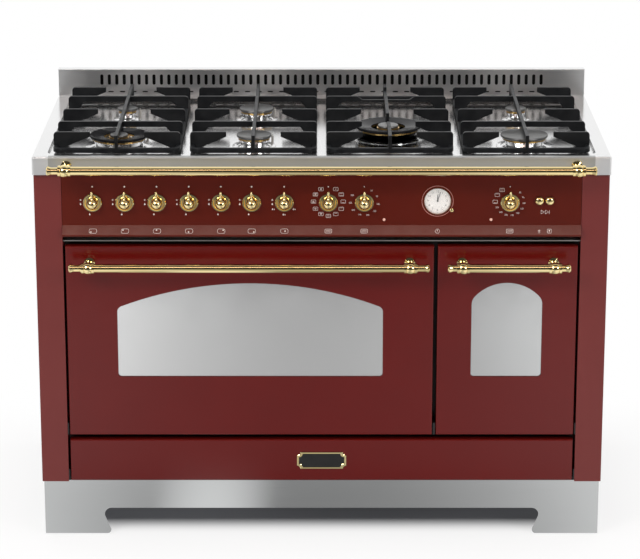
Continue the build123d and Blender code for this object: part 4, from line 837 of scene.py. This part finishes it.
def lip_marks():
    """Which burner, oven or button each control works, on the slanted lip below."""
    low = Vector((0, FRONT_Y - LIP_FLARE, LIP_Z))
    high = Vector((0, FRONT_Y, LIP_Z + LIP_H))
    ink = Ink((low + high) / 2, ACROSS, high - low)
    for i, (u, v) in zip(BURNER_KNOBS, HOB_SPOTS):
        x = control_x(f"burner_knob_{i}")
        ink.line(rounded_box(x, 0, *HOB_SIGN), HOB_STROKE, closed=True)
        ink.dot(x + u, v, HOB_SPOT_R, steps=14)
    for node in ("selector_knob", "thermostat_knob", "small_oven_knob"):
        x = control_x(node)
        ink.line(rounded_box(x, 0, *OVEN_LABEL), OVEN_STROKE, closed=True)
        for v in OVEN_BARS:
            ink.bar(x, v, OVEN_BAR_HALF, LIP_STROKE)
    x = control_x("clock_dial")
    ink.line(circle(x, 0, CLOCK_SIGN_R, steps=24), LIP_STROKE, closed=True)
    ink.line([(x + u, v) for u, v in CLOCK_SIGN_HANDS], LIP_STROKE)
    x = control_x("ignition_button")
    spark(ink, x, LIP_SPARK_UP, LIP_SPARK_SIZE)
    ink.bar(x, SPARK_BAR_UP, SPARK_BAR_HALF, LIP_STROKE)
    x = control_x("lamp_button")
    ink.line(rounded_box(x, 0, *LAMP_SIGN), LIP_STROKE, closed=True)
    ink.dot(x, BULB_UP, BULB_R, steps=12)
    ink.bar(x, BULB_BAR_UP, BULB_BAR_HALF, LIP_STROKE)
    ink.piece("lip_marks", "cooker_body", PRINT)


# Clock face, the thin ring round its case and its glass, in millimetres

DIAL_R = (DIAL_HIGH.x - DIAL_LOW.x) / 2 / MM
HOUR_IN, HOUR_SIZE = 7.2, 6.6
STROKE_OUT = 0.8
# How far in a stroke reaches, and its width
HOUR_STROKE, MINUTE_STROKE = (2.6, 0.5), (1.8, 0.25)
CASE_RING_R, CASE_RING_W = 32.6, 0.9
GLASS_PLAY = 0.2
GLASS_BACK, GLASS_EDGE, GLASS_CROWN, GLASS_TOP = 0.4, 0.8, 1.2, 1.3


def clock_marks():
    """Numbers and minute strokes on the dial, and a thin pale pink ring round the case."""
    x, z = middle_of("clock_dial")
    ink = Ink((0, DIAL_LOW.y, 0), ACROSS, UPRIGHT)
    for hour in range(1, 13):
        ink.words(str(hour), *clock_point(x, z, DIAL_R - HOUR_IN, 360 * hour / 12), HOUR_SIZE)
    for minute in range(60):
        reach, width = MINUTE_STROKE if minute % 5 else HOUR_STROKE
        ends = (DIAL_R - reach, DIAL_R - STROKE_OUT)
        ink.line([clock_point(x, z, r, 360 * minute / 60) for r in ends], width)
    ink.piece("clock_numbers", "cooker_body", BLACK)
    ring = Ink((0, FRONT_Y, 0), ACROSS, UPRIGHT)
    ring.line(circle(x, z, CASE_RING_R, steps=72), CASE_RING_W, closed=True)
    ring.piece("clock_ring", "cooker_body", PINK_RING)


def lathe_piece(profile, at, axis_up, name, body, material, steps=48):
    """A closed turned piece. Its profile is (radius, height) in millimetres, from axis to axis."""
    mesh = bmesh.new()
    turn = Vector((0, 0, 1)).rotation_difference(Vector(axis_up)).to_matrix()
    rings = []
    for r, h in profile:
        around = circle(0, 0, r * MM, steps) if r else [(0, 0)]
        points = [Vector(at) + turn @ Vector((u, v, h * MM)) for u, v in around]
        rings.append([mesh.verts.new(point) for point in points])
    for first, second in zip(rings, rings[1:]):
        for i in range(steps):
            j = (i + 1) % steps
            corners = [first[i % len(first)], first[j % len(first)],
                       second[j % len(second)], second[i % len(second)]]
            mesh.faces.new(list(dict.fromkeys(corners)))
    for face in mesh.faces:
        face.smooth = True
    settle(mesh, name, body, material)


def clock_glass():
    """A thin watch glass inside the rim of the case."""
    x, z = middle_of("clock_dial")
    edge = DIAL_R - GLASS_PLAY
    radii = (0, edge, edge, DIAL_R / 2, 0)
    profile = zip(radii, (GLASS_BACK, GLASS_BACK, GLASS_EDGE, GLASS_CROWN, GLASS_TOP))
    lathe_piece(profile, (x * MM, FRONT_Y, z * MM), (0, -1, 0),
                "clock_glass", "cooker_body", watch_glass("watch_glass"))


# Brass plaque on the storage flap, in millimetres; heights are out of the flap

PLATE_W, PLATE_H = 105.0, 38.0
PLATE_NOTCH, NOTCH_GROWTH, NOTCH_STEPS = 7.0, 0.2, 6
PLATE_RIM, RIM_BEVEL = 4.2, 0.8
RIM_LOW, RIM_SIDE, RIM_TOP = -0.05, 1.2, 2.0
FIELD_LOW, FIELD_SIDE, FIELD_TOP = 1.15, 1.35, 1.5
FIELD_PLAY, FIELD_BEVEL = 0.05, 0.6


def plate_outline(shrink):
    """A plaque whose corners are scooped out."""
    half_w, half_h = PLATE_W / 2 - shrink, PLATE_H / 2 - shrink
    scoop = PLATE_NOTCH + shrink * NOTCH_GROWTH
    points = []
    for corner, (sx, sy) in enumerate(CORNERS):
        for i in range(NOTCH_STEPS + 1):
            turn = math.radians(90 * i / NOTCH_STEPS)
            up, side = math.cos(turn), math.sin(turn)
            if corner % 2:
                up, side = side, up
            points.append((sx * (half_w - scoop * side), sy * (half_h - scoop * up)))
    return points


def plate_slab(name, loops, material):
    """A closed plate through outlines given as (points, height)."""
    x = (FLAP_LOW.x + FLAP_HIGH.x) / 2
    z = (FLAP_LOW.z + FLAP_HIGH.z) / 2
    mesh = bmesh.new()
    rows = []
    for points, lift in loops:
        y = FRONT_Y - lift * MM
        rows.append([mesh.verts.new((x + u * MM, y, z + v * MM)) for u, v in points])
    count = len(rows[0])
    for first, second in zip(rows, rows[1:]):
        for i in range(count):
            j = (i + 1) % count
            mesh.faces.new((first[i], first[j], second[j], second[i]))
    mesh.faces.new(rows[0][::-1])
    mesh.faces.new(rows[-1])
    settle(mesh, name, "storage_flap", material)


def plaque():
    """A brass rim raised round a black field."""
    side, top = plate_outline(0), plate_outline(RIM_BEVEL)
    edge, inside = plate_outline(PLATE_RIM - RIM_BEVEL), plate_outline(PLATE_RIM)
    rim = [(side, RIM_LOW), (side, RIM_SIDE), (top, RIM_TOP), (edge, RIM_TOP), (inside, RIM_SIDE)]
    plate_slab("plate_rim", rim, BRASS)
    face, crown = plate_outline(PLATE_RIM + FIELD_PLAY), plate_outline(PLATE_RIM + FIELD_BEVEL)
    field = [(face, FIELD_LOW), (face, FIELD_SIDE), (crown, FIELD_TOP)]
    plate_slab("plate_field", field, BLACK)


fascia_marks()
lip_marks()
clock_marks()
clock_glass()
plaque()


# Stage, light and camera

FLOOR_HALF = 5.0
WHITE_LIGHT = (1, 1, 1, 1)
# The floor as the camera sees it: ranges in metres outside the footprint and its cover
FOOT_COVER = 0.06
# Painted shadow: the floor's own colour is darker under the part, for every ray.
PAINTED_SHADOW_DARK, SHADE_PALE = (0.34, 0.34, 0.36), grey(0.88)
SHADE_RANGE = (-0.15, -0.08)
EDGE_WHITE, EDGE_RANGE = 0.75, (-0.165, -0.09)
FADE_WHITE, FADE_RANGE = 0.25, (-0.02, 0.30)
# The floor as mirrors see it: strengths, and ranges along X squared and along Y
GLOW_MID, GLOW_SIDE, GLOW_FAR, GLOW_DUSK = 0.32, 0.84, 0.50, 0.30
GLOW_RANGE = (0.0, 0.37)
NEAR_RANGE, DUSK_RANGE = (-0.74, -0.64), (-2.5, -2.1)
STREAK, STREAK_X, STREAK_W = 0.59, -0.24, 0.135
# The sky, and the room that mirrors see in its place
SKY = 0.42
ROOM_FRONT, ROOM_RANGE = 0.05, (-0.25, 0.45)
# Soft boxes: name, place, aim, size, power, tint, and whether mirrors see them
PLAIN, WARM = (1, 1, 1), (1.0, 0.74, 0.64)
SOFT_BOXES = (
    ("key_left", (-2.6, -3.0, 3.0), (0, -0.2, 0.45), (1.8, 1.8), 90, PLAIN, True),
    ("fill_right", (2.8, -2.8, 2.2), (0, -0.2, 0.4), (1.6, 1.6), 50, PLAIN, True),
    ("top_light", (0, 0.1, 3.4), (0, 0.05, 0.8), (2.6, 1.4), 70, PLAIN, False),
    ("strip", (0, -2.6, 2.9), (0, -0.27, 0.8), (3.6, 0.25), 16, WARM, True),
)
CAMERA_AT = Vector((-0.0034, -5.58, 2.154))
CAMERA_TILT = 15.70
CAMERA_LENS = 148.2
CAMERA_SHIFT = -0.06
CAMERA_SENSOR = 36.0
CAMERA_FAR = 100


def mixed_by(tree, factor, first, second):
    """Two shaders mixed by a factor socket."""
    links = [(factor, 0), (first.outputs[0], 1), (second.outputs[0], 2)]
    return add(tree, "ShaderNodeMixShader", links)


def in_mirrors(tree, path):
    """1 for a ray that a mirror or a glass sends on, else 0."""
    return calc(tree, "MAXIMUM", path.outputs["Is Glossy Ray"], path.outputs["Is Transmission Ray"])


def outside(tree, where):
    """How far a point of the floor lies outside the footprint of the part, negative inside it."""
    split = along(tree, where)
    over_x, over_y = (
        calc(tree, "SUBTRACT", calc(tree, "ABSOLUTE", split[axis]), half)
        for axis, half in (("X", cad_box[1].x + FOOT_COVER), ("Y", cad_box[1].y)))
    return calc(tree, "MAXIMUM", over_x, over_y)


def floor_glow(tree, where):
    """How bright mirrors see the floor: dim in front of the middle and far out, brighter to both
    sides, with one bright streak near the plinth, left of the middle."""
    split = along(tree, where)
    squared = calc(tree, "MULTIPLY", split["X"], split["X"])
    sides = spread(tree, squared, GLOW_MID, GLOW_SIDE, *GLOW_RANGE)
    off = calc(tree, "SUBTRACT", split["X"], STREAK_X)
    streak = spread(tree, calc(tree, "MULTIPLY", off, off), STREAK, 0.0, 0.0, STREAK_W * STREAK_W)
    near = calc(tree, "ADD", sides, streak)
    far = spread(tree, squared, GLOW_FAR, 1.0, *GLOW_RANGE)
    depth = spread(tree, split["Y"], 1, 0, *NEAR_RANGE)
    dusk = spread(tree, split["Y"], GLOW_DUSK, 1.0, *DUSK_RANGE)
    return blend_values(tree, depth, near, calc(tree, "MULTIPLY", far, dusk))


def floor_white(name):
    """A white floor: a painted shadow darkens its colour under the part, a faint shadow round it,
    and plain white further out for the camera. Mirrors see it as a pale sheet."""
    material = bpy.data.materials.new(name)
    tree = empty_tree(material)
    out = tree.nodes.new("ShaderNodeOutputMaterial")
    path = tree.nodes.new("ShaderNodeLightPath")
    where = places(tree)
    away = outside(tree, where)
    matt = add(tree, "ShaderNodeBsdfDiffuse")
    shade = spread(tree, away, 0.0, 1.0, *SHADE_RANGE)
    feed(matt, "Color", blend_colours(tree, shade, PAINTED_SHADOW_DARK, SHADE_PALE))
    plain = add(tree, "ShaderNodeEmission", Color=WHITE_LIGHT, Strength=1.0)
    pale = add(tree, "ShaderNodeEmission", Color=WHITE_LIGHT)
    feed(pale, "Strength", floor_glow(tree, where))
    edge = spread(tree, away, 0.0, EDGE_WHITE, *EDGE_RANGE)
    fade = spread(tree, away, 0.0, FADE_WHITE, *FADE_RANGE)
    white = mixed_by(tree, calc(tree, "ADD", edge, fade), matt, plain)
    for_camera = mixed_by(tree, path.outputs["Is Camera Ray"], matt, white)
    seen = mixed_by(tree, in_mirrors(tree, path), for_camera, pale)
    tree.links.new(seen.outputs[0], out.inputs[0])
    return material


def floor():
    """The square sheet that the part stands on."""
    mesh = bpy.data.meshes.new("floor")
    points = [(sx * FLOOR_HALF, sy * FLOOR_HALF, 0) for sx, sy in CORNERS]
    mesh.from_pydata(points, [], [(0, 1, 2, 3)])
    sheet = new_object("floor", mesh)
    mesh.materials.append(floor_white("floor_white"))


def area_light(name, at, aim, size, power, tint, mirrored):
    """A soft box that looks at a point."""
    lamp = bpy.data.lights.new(name, "AREA")
    lamp.shape = "RECTANGLE"
    lamp.size, lamp.size_y = size
    lamp.energy = power
    lamp.color = tint
    box = new_object(name, lamp)
    box.location = at
    box.rotation_euler = (Vector(aim) - Vector(at)).to_track_quat("-Z", "Y").to_euler()
    box.visible_glossy = mirrored


def sky():
    """A dim even light. The camera sees white, mirrors a white wall behind and a dark room."""
    world = bpy.data.worlds.new("studio")
    bpy.context.scene.world = world
    tree = empty_tree(world)
    out = tree.nodes.new("ShaderNodeOutputWorld")
    path = tree.nodes.new("ShaderNodeLightPath")
    even = add(tree, "ShaderNodeBackground", Color=WHITE_LIGHT, Strength=SKY)
    white = add(tree, "ShaderNodeBackground", Color=WHITE_LIGHT, Strength=1.0)
    room = add(tree, "ShaderNodeBackground", Color=WHITE_LIGHT)
    way = along(tree, add(tree, "ShaderNodeTexCoord").outputs["Generated"])
    feed(room, "Strength", spread(tree, way["Y"], ROOM_FRONT, 1.0, *ROOM_RANGE))
    lit = mixed_by(tree, in_mirrors(tree, path), even, room)
    seen = mixed_by(tree, path.outputs["Is Camera Ray"], lit, white)
    tree.links.new(seen.outputs[0], out.inputs[0])


def studio():
    """White floor, sky, soft boxes on both sides and above, and a long strip light in front."""
    floor()
    sky()
    for box in SOFT_BOXES:
        area_light(*box)


def camera():
    """The camera of the photograph: high in front, tilted down."""
    lens = bpy.data.cameras.new("camera")
    lens.sensor_width = CAMERA_SENSOR
    lens.sensor_fit = "HORIZONTAL"
    lens.lens = CAMERA_LENS
    lens.shift_y = CAMERA_SHIFT
    lens.clip_end = CAMERA_FAR
    eye = new_object("camera", lens)
    eye.location = CAMERA_AT
    eye.rotation_euler = (math.radians(90 - CAMERA_TILT), 0, 0)
    bpy.context.scene.camera = eye


studio()
camera()
bpy.context.scene.view_settings.view_transform = "Standard"
